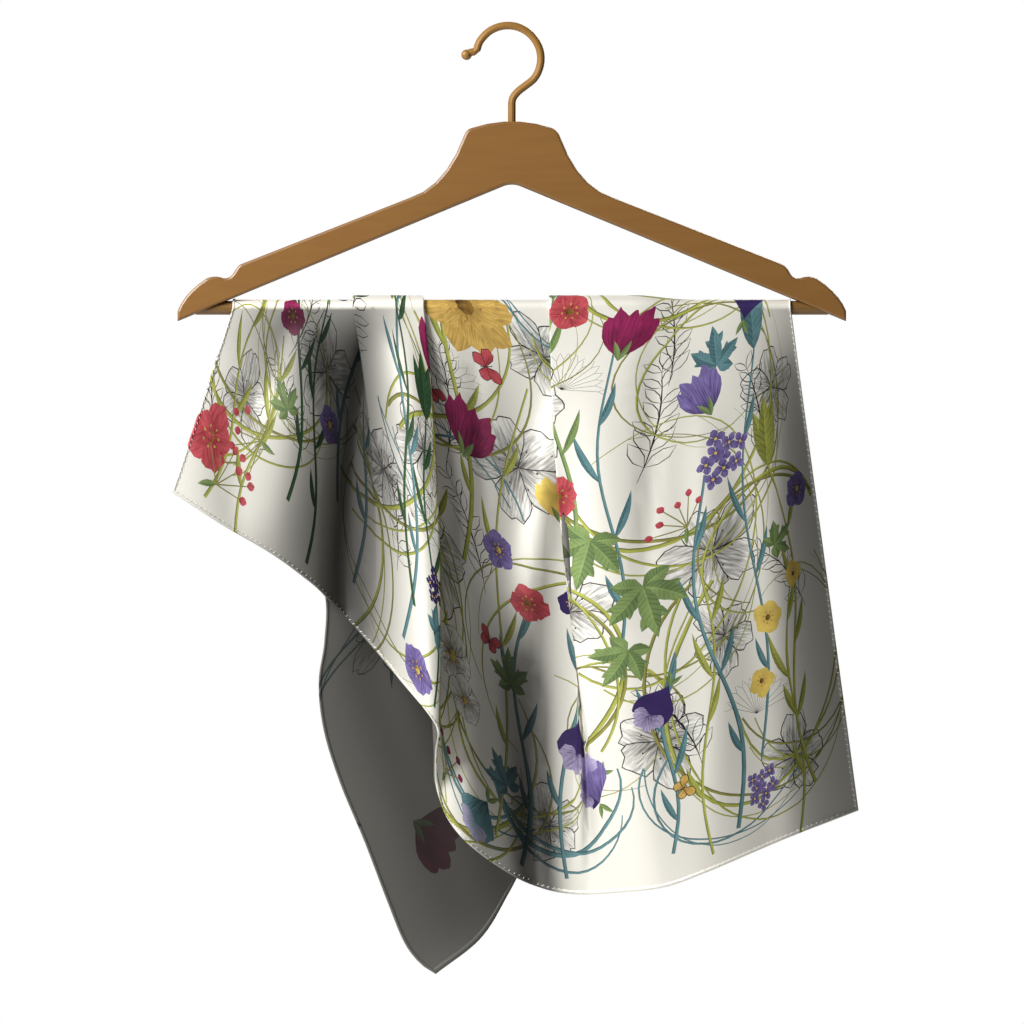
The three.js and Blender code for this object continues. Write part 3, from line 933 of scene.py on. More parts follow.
    def seed_head(self, at: np.ndarray, size: float, turn: float) -> None:
        """Draws an umbel of pen lines that spread from one point.

        Args:
            at: Its middle, or its foot.
            size: Its size.
            turn: Its way, in radians.
        """
        for i in range(13):
            way = turn + (i - 6) * 0.21
            tip = self.stroke(at, way, size * (0.8 + 0.2 * self.chance.random()), 0.75)
            for side in (-0.5, 0.5):
                self.stroke(tip, way + side, 0.22 * size, 0.6)

    def sketched_twig(self, at: np.ndarray, size: float, turn: float) -> None:
        """Draws a twig with open pen-line leaves.

        Args:
            at: Its middle, or its foot.
            size: Its size.
            turn: Its way, in radians.
        """
        way = turn + 0.5 * np.linspace(0, 1, 8)
        spine = at + np.cumsum(size / 7 * np.stack([np.cos(way), np.sin(way)], 1), axis=0)
        self.line(spine, 1.0)
        share = np.linspace(0, 1, 4)
        for i in range(1, 8):
            for side in (-0.75, 0.7):
                along = polar(way[i] + side + 0.2 * self.chance.normal())
                out = np.array([-along[1], along[0]])
                long = size * (0.3 - 0.018 * i)
                for rise in (0.2, -0.2):
                    bow = rise * long * np.sin(math.pi * share)
                    leaf_edge = spine[i] + long * share[:, None] * along + bow[:, None] * out
                    self.line(leaf_edge, 0.65)

    def sketched_flower(self, at: np.ndarray, size: float, turn: float) -> None:
        """Draws an unpainted flower of five or six petals in pen lines.

        Args:
            at: Its middle, or its foot.
            size: Its size.
            turn: Its way, in radians.
        """
        petals = 5 + int(at[0]) % 2
        for i in range(petals):
            angle = turn + 2 * math.pi * i / petals
            long = size * 0.5 * (1 + 0.15 * self.chance.normal())
            self.petal(at, angle, long, size * 0.4, DYES["white"], 1.5, 0.05, 0.75, 10)
            for side in (-0.34, -0.17, 0.02, 0.2, 0.36):
                way = angle + side * 0.8
                low = 0.18 + 0.2 * self.chance.random()
                high = 0.62 + 0.3 * self.chance.random() - 0.3 * abs(side)
                start, end = at + polar(way, low * long), at + polar(way + 0.06, high * long)
                self.line(np.linspace(start, end, 2), 0.6)
        for i in range(6):
            tip = self.stroke(at, turn + 1.05 * i + 0.3, size * 0.2, 0.6)
            self.dot(tip, 0.7, DYES["line"], 5)


DRAWN = {
    "sketch": FlatPrint.sketched_flower,
    "twig": FlatPrint.sketched_twig,
    "seeds": FlatPrint.seed_head,
}
PAINTED = {
    "cup": FlatPrint.cup_flower,
    "open": FlatPrint.open_flower,
    "bell": FlatPrint.bell_flower,
    "cluster": FlatPrint.cluster,
    "lobed": FlatPrint.lobed_leaf,
    "berries": FlatPrint.berries,
    "moth": FlatPrint.butterfly,
}

# The layout of the garden, in millimetres on the flat square, from its front left corner. Angles
# are in degrees.
LOOPS = (
    # across, along, radius, squash, start turn, sweep, width, strands, dye
    (20, 90, 40, 1.3, 280, 260, 1.6, 4, "olive"), (96, 150, 54, 1.1, 100, 280, 1.6, 4, "olive"),
    (210, 90, 60, 1.3, 20, -260, 1.8, 4, "olive"), (250, 210, 62, 1.2, 200, 230, 1.6, 3, "teal"),
    (300, 130, 48, 1.6, 260, 300, 1.8, 4, "olive"), (350, 180, 60, 1.5, 40, 220, 1.6, 3, "teal"),
    (400, 96, 56, 0.9, 170, 260, 2.7, 4, "olive"), (480, 110, 44, 1.0, 0, 330, 1.6, 3, "olive"),
    (520, 220, 70, 1.2, 230, 250, 1.8, 4, "olive"), (566, 330, 50, 0.9, 20, 300, 1.8, 3, "olive"),
    (612, 120, 44, 1.4, 200, 280, 1.8, 4, "olive"), (556, 60, 56, 0.8, 150, 240, 1.6, 3, "teal"),
    (440, 380, 50, 0.8, 200, 200, 1.6, 3, "olive"), (48, 118, 62, 0.8, 200, 230, 3.0, 3, "olive"),
    (120, 60, 70, 1.2, 60, -210, 2.9, 3, "olive"), (170, 190, 85, 1.1, 250, 260, 3.1, 4, "olive"),
    (120, 330, 80, 1.2, 80, 230, 2.9, 3, "teal"), (262, 120, 66, 1.4, 140, -250, 3.0, 3, "olive"),
    (330, 70, 78, 0.9, 210, 190, 4.2, 4, "olive"), (370, 120, 60, 1.6, 160, 150, 4.7, 3, "teal"),
    (435, 66, 52, 0.8, 180, 200, 4.3, 3, "teal"), (430, 150, 64, 1.0, 300, 300, 2.9, 3, "olive"),
    (540, 300, 74, 1.1, 190, 290, 3.0, 4, "olive"), (585, 120, 66, 1.3, 120, 280, 2.9, 4, "olive"),
    (600, 200, 48, 0.9, 20, 250, 2.9, 3, "olive"), (300, 330, 80, 0.9, 230, 200, 3.0, 3, "olive"),
    (205, 420, 88, 1.1, 30, 260, 3.1, 3, "olive"), (60, 500, 74, 1.2, 150, 250, 3.0, 3, "teal"),
    (150, 585, 66, 0.9, 10, 220, 2.9, 3, "olive"), (330, 520, 90, 1.0, 200, 290, 3.1, 4, "olive"),
    (420, 440, 62, 1.3, 60, 240, 2.9, 3, "teal"), (560, 470, 84, 1.1, 140, 260, 3.0, 4, "olive"),
    (490, 590, 70, 0.9, 220, 240, 2.9, 3, "teal"), (250, 620, 60, 0.8, 0, 200, 2.9, 3, "olive"),
    (610, 600, 60, 1.0, 100, 260, 2.9, 3, "olive"),
)
REEDS = (
    # across, along from, along to, lean, sway, width, dye, what its tip carries
    (52, 0, 140, 12, -5, 2.2, "olive", "none"), (110, 10, 190, -10, 6, 2.6, "pine", "bud"),
    (160, 30, 250, 14, 6, 2.4, "teal", "none"), (250, 10, 200, -8, 6, 2.6, "pine", "bud"),
    (312, 30, 330, 10, 6, 2.4, "teal", "none"), (330, 10, 260, -8, -6, 2.2, "olive", "none"),
    (378, 20, 330, 12, 8, 2.2, "olive", "none"), (432, 10, 230, 6, -6, 2.8, "teal", "none"),
    (446, 180, 400, -10, 6, 2.0, "leaf", "none"), (494, 150, 360, 8, 6, 2.0, "teal", "none"),
    (540, 10, 200, 10, -6, 2.2, "olive", "none"), (582, 60, 330, 10, 8, 2.2, "teal", "bud"),
    (606, 0, 180, 8, 6, 2.4, "olive", "none"), (24, 10, 160, 10, 6, 2.4, "olive", "bud"),
    (88, 40, 230, -14, 8, 3.0, "pine", "bud"), (138, 70, 300, 8, -8, 3.4, "teal", "bud"),
    (214, 30, 330, 22, 10, 3.2, "teal", "none"), (226, 60, 300, -10, -8, 3.0, "pine", "bud"),
    (286, 20, 260, 16, 6, 3.0, "teal", "none"), (352, 190, 420, -8, 8, 3.4, "olive", "bud"),
    (398, 10, 200, 6, 8, 3.4, "teal", "none"), (460, 200, 430, 4, -7, 3.0, "teal", "bud"),
    (476, 220, 400, -6, 5, 2.6, "leaf", "bud"), (512, 20, 150, 12, 5, 2.6, "teal", "none"),
    (560, 20, 260, -12, 10, 3.0, "teal", "none"), (622, 30, 250, -16, -8, 2.6, "olive", "bud"),
    (70, 300, 520, 12, 8, 3.0, "pine", "bud"), (180, 300, 560, -10, 12, 3.2, "teal", "bud"),
    (270, 400, 600, 8, 8, 3.0, "olive", "none"), (390, 430, 620, -14, 8, 3.0, "pine", "bud"),
    (450, 460, 640, 8, -6, 3.2, "teal", "none"), (520, 420, 600, 10, 8, 2.8, "olive", "bud"),
    (600, 380, 560, -8, 6, 3.0, "teal", "bud"),
)
SKETCHES = (
    # a kind, and for each: across, along, size, turn
    ("sketch", (
        (110, 140, 66, 30), (190, 128, 60, 80), (318, 180, 74, 10), (392, 276, 70, 50),
        (300, 250, 58, 20), (452, 330, 62, 0), (556, 208, 66, 40), (512, 96, 60, 70),
        (610, 300, 54, 15), (60, 420, 66, 0), (150, 480, 64, 35), (100, 610, 60, 60),
        (380, 560, 66, 10), (510, 520, 62, 45), (250, 540, 58, 70), (36, 86, 52, 20),
        (470, 190, 58, 25), (240, 176, 54, 65), (404, 356, 50, 0), (606, 52, 50, 12),
        (560, 150, 46, 50), (420, 44, 52, 30),
    )),
    ("twig", (
        (20, 30, 66, 100), (64, 120, 70, 60), (100, 60, 64, 110), (150, 180, 70, 50),
        (204, 60, 66, 80), (276, 120, 72, 95), (336, 236, 74, 75), (372, 170, 66, 100),
        (430, 250, 76, 70), (470, 300, 66, 110), (508, 260, 72, 60), (540, 60, 66, 100),
        (596, 240, 70, 80), (630, 140, 60, 110), (530, 320, 60, 70), (60, 340, 70, 80),
        (180, 360, 70, 60), (300, 420, 72, 90), (90, 540, 64, 60), (460, 540, 70, 100),
        (600, 460, 70, 70),
    )),
    ("seeds", (
        (130, 200, 22, 90), (224, 120, 24, 60), (246, 150, 22, 250), (340, 300, 24, 100),
        (476, 340, 22, 60), (580, 90, 24, 80), (290, 290, 20, 60), (150, 430, 24, 90),
        (400, 520, 24, 60),
    )),
)
FLOWERS = (
    # a kind, and for each: across, along, size, turn, dye
    ("cup", (
        (262, 232, 52, 75, "wine"), (216, 262, 46, 100, "yellow"), (178, 236, 40, 84, "pine"),
        (40, 560, 46, 60, "wine"), (560, 560, 48, 95, "coral"), (120, 400, 42, 80, "yellow"),
    )),
    ("open", (
        (352, 362, 62, 20, "gold"), (16, 48, 40, 10, "coral"), (470, 268, 30, 0, "coral"),
        (482, 392, 26, 30, "coral"), (300, 60, 34, 15, "violet"), (594, 150, 22, 0, "yellow"),
        (618, 172, 18, 30, "yellow"), (586, 110, 20, 60, "yellow"), (430, 196, 18, 20, "purple"),
        (340, 118, 40, 0, "white"), (230, 20, 30, 0, "violet"), (90, 270, 30, 20, "violet"),
        (200, 610, 44, 30, "gold"), (330, 450, 40, 0, "coral"), (620, 440, 34, 0, "wine"),
        (440, 610, 36, 20, "white"), (30, 300, 34, 15, "coral"),
    )),
    ("bell", (
        (450, 120, 34, 250, "purple"), (474, 80, 26, 215, "purple"), (372, 40, 30, 240, "teal"),
        (590, 352, 32, 70, "purple"), (132, 300, 34, 250, "purple"), (300, 600, 32, 200, "violet"),
        (520, 640, 28, 240, "purple"),
    )),
    ("cluster", (
        (566, 268, 40, 0, "violet"), (580, 40, 30, 30, "violet"), (250, 90, 26, 0, "purple"),
        (70, 200, 28, 0, "coral"), (420, 500, 36, 0, "violet"), (170, 560, 30, 0, "violet"),
    )),
    ("lobed", (
        (486, 236, 34, 250, "leaf"), (512, 200, 37, 280, "leaf"), (500, 160, 28, 240, "leaf"),
        (566, 330, 27, 90, "teal"), (388, 60, 23, 120, "teal"), (120, 530, 33, 60, "leaf"),
        (340, 610, 31, 90, "leaf"), (600, 520, 30, 200, "leaf"),
    )),
    ("cup", (
        (352, 262, 40, 78, "wine"), (322, 176, 30, 110, "yellow"),
    )),
    ("open", (
        (352, 96, 30, 25, "white"), (404, 190, 26, 55, "coral"),
    )),
    ("bell", (
        (470, 60, 30, 110, "violet"),
    )),
    ("moth", (
        (366, 330, 22, 30, "coral"), (306, 350, 28, 150, "brown"), (374, 150, 18, 70, "coral"),
    )),
    ("lobed", (
        (392, 130, 24, 100, "leaf"),
    )),
    ("berries", (
        (30, 22, 26, 60, "coral"), (58, 66, 24, 200, "coral"), (330, 30, 22, 90, "wine"),
        (540, 230, 20, 120, "coral"), (220, 480, 24, 60, "coral"),
    )),
    ("cup", (
        (508, 356, 34, 70, "wine"), (420, 250, 30, 95, "yellow"), (560, 300, 34, 110, "violet"),
    )),
    ("open", (
        (66, 156, 26, 10, "wine"), (120, 110, 24, 50, "violet"), (286, 190, 26, 10, "coral"),
        (380, 214, 24, 40, "violet"), (446, 300, 22, 0, "yellow"), (630, 226, 24, 0, "violet"),
    )),
    ("bell", (
        (522, 130, 26, 230, "purple"), (104, 190, 26, 60, "purple"),
    )),
    ("lobed", (
        (76, 96, 22, 130, "leaf"), (250, 60, 23, 40, "teal"), (320, 340, 20, 200, "leaf"),
        (602, 196, 20, 30, "leaf"),
    )),
    ("moth", (
        (206, 290, 26, 200, "brown"), (330, 290, 18, 60, "coral"), (524, 60, 16, 20, "gold"),
        (540, 400, 20, 120, "brown"), (470, 470, 22, 40, "gold"), (90, 460, 20, 300, "brown"),
    )),
)


class Garden:
    """Lays out the print from its tables."""

    def __init__(self, seed: int) -> None:
        """Takes the seed of the print's small unevenness."""
        self.print = FlatPrint(seed)

    def loop(self, row: tuple) -> None:
        """Paints one loop of long grass blades that run together and part.

        Args:
            row: Its row of LOOPS.
        """
        across, along, radius, squash, start, sweep, width, strands, name = row
        chance = self.print.chance
        for strand in range(strands):
            count = max(9, int(abs(sweep) * radius / 57 / 8))
            swept = np.linspace(0, sweep * (1 - 0.12 * strand), count)
            turn = np.radians(start + 6 * strand + swept)
            wander = 1 + 0.1 * np.sin(turn * 2 + 2.1 * strand) + 0.04 * strand
            spine = np.stack([np.cos(turn), squash * np.sin(turn)], 1) * radius * wander[:, None]
            spine += (across + 3 * chance.normal(), along + 3 * chance.normal())
            dye = DYES["moss" if name == "olive" and strand == 1 else name]
            self.print.stem(spine, width * (1 - 0.2 * strand), dye)

    def reed(self, row: tuple) -> None:
        """Paints one upright stem with leaves, and the bud that it carries.

        Args:
            row: Its row of REEDS.
        """
        across, low, high, lean, sway, width, name, tip = row
        count = int((high - low) / 9)
        share = np.linspace(0, 1, count)
        x = across + lean * share + sway * np.sin(share * 2 * math.pi * 1.1)
        spine = np.stack([x, low + (high - low) * share], 1)
        dye = DYES[name]
        self.print.stem(spine, width, dye, 0.6)
        for i, at in enumerate((0.22, 0.45, 0.62, 0.8)):
            spot = spine[int(at * (count - 1))]
            side = 1 if i % 2 else -1
            long = 26 + 6 * i % 14
            self.print.leaf(spot, math.pi / 2 - side * 0.5, long, 4.5, dye, side * 0.35)
        if tip == "bud":
            for spread, long in ((-0.14, 44), (0.16, 40), (0.0, 48)):
                self.print.leaf(spine[-1], math.pi / 2 + spread, long, 11, dye, spread)

    def paint(self) -> list[Patch]:
        """Paints the whole garden.

        Returns:
            Its patches, in the order in which they were laid.
        """
        for kind, rows in SKETCHES:
            for across, along, size, turn in rows:
                at = np.array([across, along], float)
                DRAWN[kind](self.print, at, size, math.radians(turn))
        for row in LOOPS:
            self.loop(row)
        for row in REEDS:
            self.reed(row)
        for kind, rows in FLOWERS:
            for across, along, size, turn, name in rows:
                at = np.array([across, along], float)
                PAINTED[kind](self.print, at, size, math.radians(turn), DYES[name])
        return self.print.patches


def add_node(
    tree: bpy.types.NodeTree, kind: str, inputs: dict | None = None, **settings: object
) -> bpy.types.Node:
    """Adds a shader node.

    Args:
        tree: The material's or world's node tree.
        kind: The node's type.
        inputs: For each named or numbered input, a value or the socket that feeds it.
        settings: Settings of the node itself.

    Returns:
        The node.
    """
    node = tree.nodes.new(kind)
    for name, value in settings.items():
        setattr(node, name, value)
    for name, value in (inputs or {}).items():
        if isinstance(value, bpy.types.NodeSocket):
            tree.links.new(value, node.inputs[name])
        else:
            node.inputs[name].default_value = value
    return node


class Shader:
    """Builds one material's nodes."""

    def __init__(self, name: str) -> None:
        """Starts a material of this name.

        Args:
            name: The material's name.
        """
        self.material = bpy.data.materials.new(name)
        self.material.use_nodes = True
        self.tree = self.material.node_tree
        self.tree.nodes.clear()

    def node(self, kind: str, inputs: dict | None = None, **settings: object) -> bpy.types.Node:
        """Adds a node to this material."""
        return add_node(self.tree, kind, inputs, **settings)

    def math(self, operation: str, *values: object) -> bpy.types.NodeSocket:
        """Adds a math node and gives its result."""
        inputs = dict(enumerate(values))
        return self.node("ShaderNodeMath", inputs, operation=operation).outputs[0]

    def noise(self, vector: object, scale: float, detail: float) -> bpy.types.NodeSocket:
        """Adds a noise texture and gives its value."""
        inputs = {"Vector": vector, "Scale": scale, "Detail": detail}
        return self.node("ShaderNodeTexNoise", inputs).outputs[0]

    def mix(
        self, factor: object, first: object, second: object, blend: str = "MIX"
    ) -> bpy.types.NodeSocket:
        """Adds a colour mix and gives its result."""
        inputs = {0: factor, 6: first, 7: second}
        return self.node("ShaderNodeMix", inputs, data_type="RGBA", blend_type=blend).outputs[2]

    def finish(self, inputs: dict) -> bpy.types.Material:
        """Adds the surface and gives the finished material.

        Args:
            inputs: A value or a socket for each input of the surface.

        Returns:
            The material.
        """
        surface = self.node("ShaderNodeBsdfPrincipled", inputs)
        self.node("ShaderNodeOutputMaterial", {"Surface": surface.outputs[0]})
        return self.material


def rgba(code: str) -> tuple[float, float, float, float]:
    """Turns an sRGB hex code into linear colour with full alpha."""
    return (*linear(code), 1.0)


@dataclass(frozen=True)
class SilkFinish:
    """How one face of the silk looks."""

    name: str
    fade: float
    # share of lightness left after painted shade darkens this face's colour, 1 for none
    painted_shade_factor: float = 1.0
    roughness: float = 0.55
    lustre: float = 0.35
    grain: float = 0.12

    def material(self) -> bpy.types.Material:
        """Builds the silk: a dyed twill with a soft lustre, its print faded by fade and its colour
        darkened by painted shade.

        Returns:
            The material.
        """
        s = Shader(self.name)
        ink = s.node("ShaderNodeAttribute", attribute_name="ink")
        deep = s.node("ShaderNodeAttribute", attribute_name="deep")
        motif = s.node("ShaderNodeUVMap", uv_map="motif").outputs[0]
        cloth = s.node("ShaderNodeUVMap", uv_map="cloth").outputs[0]
        place = s.node("ShaderNodeSeparateXYZ", {0: motif})
        along, across = place.outputs[0], place.outputs[1]
        brush = ink.outputs["Alpha"]
        is_stem = s.math("COMPARE", brush, Brush.STEM.value, 0.1)
        is_leaf = s.math("COMPARE", brush, Brush.LEAF.value, 0.1)
        is_petal = s.math("COMPARE", brush, Brush.PETAL.value, 0.1)
        # a stem is lit along one side and dark along the other, as a round one is painted
        off = s.math("ADD", across, 0.35)
        stem = s.math("MULTIPLY", s.math("MULTIPLY", off, off), 0.62)
        # a leaf has a light rib, a darker half and slanting side veins
        far = s.math("ABSOLUTE", across)
        half = s.math("MULTIPLY", s.math("GREATER_THAN", across, 0.0), 0.35)
        slant = s.math("SUBTRACT", along, s.math("MULTIPLY", far, 0.12))
        vein = s.math("SINE", s.math("MULTIPLY", slant, 62.0))
        vein = s.math("MULTIPLY", s.math("GREATER_THAN", vein, 0.72), 0.28)
        rib = s.math("LESS_THAN", far, 0.09)
        leaf = s.math("ADD", s.math("ADD", half, vein), 0.12)
        leaf = s.math("MULTIPLY", leaf, s.math("SUBTRACT", 1.0, rib))
        # a petal is deep at its foot, and fine streaks run out of it
        spread = {
            0: s.math("MULTIPLY", along, 1.6),
            1: s.math("MULTIPLY", across, 5.0),
            2: s.math("MULTIPLY", deep.outputs["Alpha"], 40.0),
        }
        spread = s.node("ShaderNodeCombineXYZ", spread).outputs[0]
        streaks = s.noise(spread, 1.6, 2.0)
        streaks = s.math("MULTIPLY", s.math("SUBTRACT", streaks, 0.42), 1.9)
        foot = s.math("SUBTRACT", 1.0, s.node("ShaderNodeClamp", {0: along}).outputs[0])
        foot = s.math("MULTIPLY", s.math("POWER", foot, 1.7), 0.75)
        petal = s.math("ADD", foot, streaks)
        dark = s.math("MULTIPLY", stem, is_stem)
        dark = s.math("ADD", dark, s.math("MULTIPLY", leaf, is_leaf))
        dark = s.math("ADD", dark, s.math("MULTIPLY", petal, is_petal))
        dark = s.node("ShaderNodeClamp", {0: dark}).outputs[0]
        colour = s.mix(dark, ink.outputs["Color"], deep.outputs["Color"])
        # thin and thick patches of dye
        wash = {0: s.noise(cloth, 70.0, 3.0), 1: 0.3, 2: 0.7, 3: 0.82, 4: 1.1}
        wash = s.node("ShaderNodeMapRange", wash).outputs[0]
        painted = s.math("GREATER_THAN", brush, 0.1)
        colour = s.mix(painted, colour, s.mix(1.0, colour, wash, "MULTIPLY"))
        colour = s.mix(self.fade, colour, rgba(Ink.IVORY.value))
        # painted shade: the whole colour is darkened by this factor
        colour = s.mix(1.0, colour, (self.painted_shade_factor, self.painted_shade_factor, self.painted_shade_factor * 0.98, 1), "MULTIPLY")
        weave = {"Height": s.noise(cloth, 520.0, 1.0), "Strength": self.grain, "Distance": 0.0004}
        bump = s.node("ShaderNodeBump", weave)
        return s.finish(
            {
                "Base Color": colour,
                "Roughness": self.roughness,
                "Metallic": self.lustre,
                "Specular IOR Level": 0.35,
                "Normal": bump.outputs[0],
            }
        )


@dataclass(frozen=True)
class WoodFinish:
    """How stained wood looks."""

    name: str
    light: str
    dark: str
    roughness: float = 0.42

    def material(self) -> bpy.types.Material:
        """Builds satin stained wood: a near even brown with a faint long grain.

        Returns:
            The material.
        """
        s = Shader(self.name)
        spot = s.node("ShaderNodeTexCoord").outputs["Object"]
        long = s.node("ShaderNodeMapping", {0: spot, "Scale": (7.0, 60.0, 60.0)}).outputs[0]
        grain = s.noise(long, 4.0, 5.0)
        share = s.node("ShaderNodeMapRange", {0: grain, 1: 0.2, 2: 0.8}).outputs[0]
        colour = s.mix(share, rgba(self.light), rgba(self.dark))
        return s.finish({"Base Color": colour, "Roughness": self.roughness, "Coat Weight": 0.1})


@dataclass(frozen=True)
class PlainFinish:
    """How a plain, even surface looks."""

    name: str
    colour: str
    roughness: float
    metallic: float = 0.0

    def material(self) -> bpy.types.Material:
        """Builds it with a faint unevenness in its gloss.

        Returns:
            The material.
        """
        s = Shader(self.name)
        spot = s.node("ShaderNodeTexCoord").outputs["Object"]
        uneven = s.noise(spot, 60.0, 2.0)
        rough = {0: uneven, 3: self.roughness - 0.04, 4: self.roughness + 0.05}
        rough = s.node("ShaderNodeMapRange", rough).outputs[0]
        return s.finish(
            {"Base Color": rgba(self.colour), "Roughness": rough, "Metallic": self.metallic}
        )


# How closely the flat square is cut: places along its hems and beside its folds, places along the
# left and right edge of each piece, insets of the cuts along the rolled hem, and shares of a fold.
FINE_CUTS = 131
COARSE_CUTS = 82
EDGE_CUTS = {Stretch.FRONT: (30, 60), Stretch.BACK: (90, 60)}
HEM_INSETS = (0.0, 0.35, 1.2, 2.05, 2.75)
FOLD_SHARES = (-0.9, 0.0, 0.33, 0.67, 1.0, 1.9)


class Scarf:
    """The silk square, cut and painted flat and then draped."""

    def __init__(self, sizes: ClothSizes, drape: Drape, patches: list[Patch]) -> None:
        """Takes the sizes, the drape and the print.

        Args:
            sizes: The cloth's sizes.
            drape: What places it on the bar.
            patches: The patches of its print, the lowest first.
        """
        self.sizes = sizes
        self.drape = drape
        self.patches = patches
        right = SilkFinish("silk twill", 0.0)
        # the wrong side's colour is darkened to a fifth as painted shade, for the shade the inside
        # of the drape lies in
        wrong = SilkFinish("silk twill, wrong side", 0.12, 0.2, 0.6, 0.3)
        self.materials = [right.material(), wrong.material()]

    def _lines(self) -> list[np.ndarray]:
        """Lists the lines that the flat square is cut along beside its print.

        Returns:
            The points of each line.
        """
        side, over = self.sizes.side, self.sizes.over_bar
        even = np.linspace(0, side, FINE_CUTS)
        coarse = np.linspace(0, side, COARSE_CUTS)
        lines = []
        for inset in HEM_INSETS:
            for at in (inset, side - inset):
                lines.append(np.stack([even, np.full_like(even, at)], 1))
                lines.append(np.stack([np.full_like(even, at), even], 1))
        front = self.drape.rib("front", even)
        for share in np.linspace(-0.1, 1.1, 10):
            lines.append(np.stack([even, front + over * share], 1))
        start = 0.0
        for length, _, way, _, _ in self.drape.legs:
            if abs(way) != 1:
                for share in FOLD_SHARES:
                    at = self.drape.rib("across", start + length * share, "run")
                    lines.append(np.stack([np.full_like(coarse, at), coarse], 1))
            start += length
        return lines

    def border(self, stretch: Stretch) -> np.ndarray:
        """Finds the outline of one piece on the flat square.

        Args:
            stretch: Which piece.

        Returns:
            Its outline, anticlockwise.
        """
        side = self.sizes.side
        across = np.linspace(0, side, FINE_CUTS)
        low = self.drape.rib("front", across) + self.sizes.over_bar
        high = np.full_like(across, side)
        if stretch is Stretch.FRONT:
            low, high = np.zeros_like(across), low
        left_cuts, right_cuts = EDGE_CUTS[stretch]
        left = np.linspace(low[0], high[0], left_cuts)[1:-1]
        right = np.linspace(low[-1], high[-1], right_cuts)[1:-1]
        sides = (
            (across, low),
            (np.full_like(right, side), right),
            (across[::-1], high[::-1]),
            (np.zeros_like(left), left[::-1]),
        )
        return np.vstack([np.stack(one, 1) for one in sides])

    def cut(
        self, border: np.ndarray, chosen: list[int]
    ) -> tuple[np.ndarray, np.ndarray, np.ndarray]:
        """Cuts one face of the flat square into triangles along the outlines of its print.

        Args:
            border: The outline of the piece, anticlockwise.
            chosen: Which patches of the print it is cut along, the lowest first.

        Returns:
            Flat points, triangles, and for each triangle its patch, or -1 for bare ground.
        """
        side, step = self.sizes.side, self.sizes.grid
        points: list[Vector] = [Vector(p) for p in border.tolist()]
        faces = [list(range(len(border)))]
        for index in chosen:
            outline = self.patches[index].outline
            faces.append(list(range(len(points), len(points) + len(outline))))
            points.extend(Vector(p) for p in outline.tolist())
        edges = []
        for line in self._lines():
            edges.extend((len(points) + i, len(points) + i + 1) for i in range(len(line) - 1))
            points.extend(Vector(p) for p in line.tolist())
        # the folds run along the cloth, so its cuts are closer across it
        close = np.arange(step / 3, side, step * 2 / 3)
        wide = np.arange(step * 3 / 4, side, step * 3 / 2)
        points.extend(Vector((x, y)) for x in close for y in wide)
        flat, _, cut, _, _, from_faces = delaunay_2d_cdt(points, edges, faces, 0, 1e-4, True)
        kept = [i for i, source in enumerate(from_faces) if 0 in source]
        owner = np.array([-1, *chosen])[[max(from_faces[i]) for i in kept]]
        triangles = np.array([cut[i] for i in kept])
        used, inverse = np.unique(triangles, return_inverse=True)
        return np.array([flat[i] for i in used]), inverse.reshape(-1, 3), owner

    @staticmethod
    def rim(triangles: np.ndarray) -> list[int]:
        """Walks round the open edge of flat triangles, anticlockwise.

        Args:
            triangles: The three corners of each triangle, anticlockwise.

        Returns:
            The corners on the edge, in order.
        """
        sides = np.vstack([triangles[:, pair] for pair in ([0, 1], [1, 2], [2, 0])])
        known = set(map(tuple, sides.tolist()))
        after = {a: b for a, b in known if (b, a) not in known}
        start = min(after)
        loop = [start]
        while after[loop[-1]] != start and len(loop) < len(after):
            loop.append(after[loop[-1]])
        return loop

    def _paint(self, mesh: bpy.types.Mesh, flat: np.ndarray, owner: np.ndarray) -> None:
        """Writes each corner's inks, darkened by painted fold shade, and its places on the cloth
        and in its motif.

        Args:
            mesh: The closed shell.
            flat: The flat place of each vertex.
            owner: The patch of each face.
        """
        corner_owner = np.repeat(owner, read_all(mesh.polygons, "loop_total"))
        places = flat[read_all(mesh.loops, "vertex_index")]
        ink = np.tile((*linear(Ink.IVORY.value), 0.0), (len(places), 1))
        deep = ink.copy()
        motif = np.zeros((len(places), 2))
        order = np.argsort(corner_owner, kind="stable")
        found, first = np.unique(corner_owner[order], return_index=True)
        for index, corners in zip(found, np.split(order, first[1:])):
            if index < 0:
                continue
            patch = self.patches[index]
            ink[corners] = (*linear(patch.dye.ink.value), patch.brush.value)
            deep[corners] = (*linear(patch.dye.deep.value), patch.chance)
            motif[corners] = patch.locate(places[corners])
        # painted shade: both inks are darkened where the silk lies deep in a fold
        light = 1 - self.drape.painted_shade_share(*self.drape.place(places[:, 0], places[:, 1]))
        ink[:, :3] *= light[:, None]
        deep[:, :3] *= light[:, None]
        for name, values in (("ink", ink), ("deep", deep)):
            layer = mesh.color_attributes.new(name, "FLOAT_COLOR", "CORNER")
            layer.data.foreach_set("color", values.astype(np.float32).ravel())
        for name, values in (("cloth", places / self.sizes.side), ("motif", motif)):
            layer = mesh.uv_layers.new(name=name)
            layer.uv.foreach_set("vector", values.astype(np.float32).ravel())

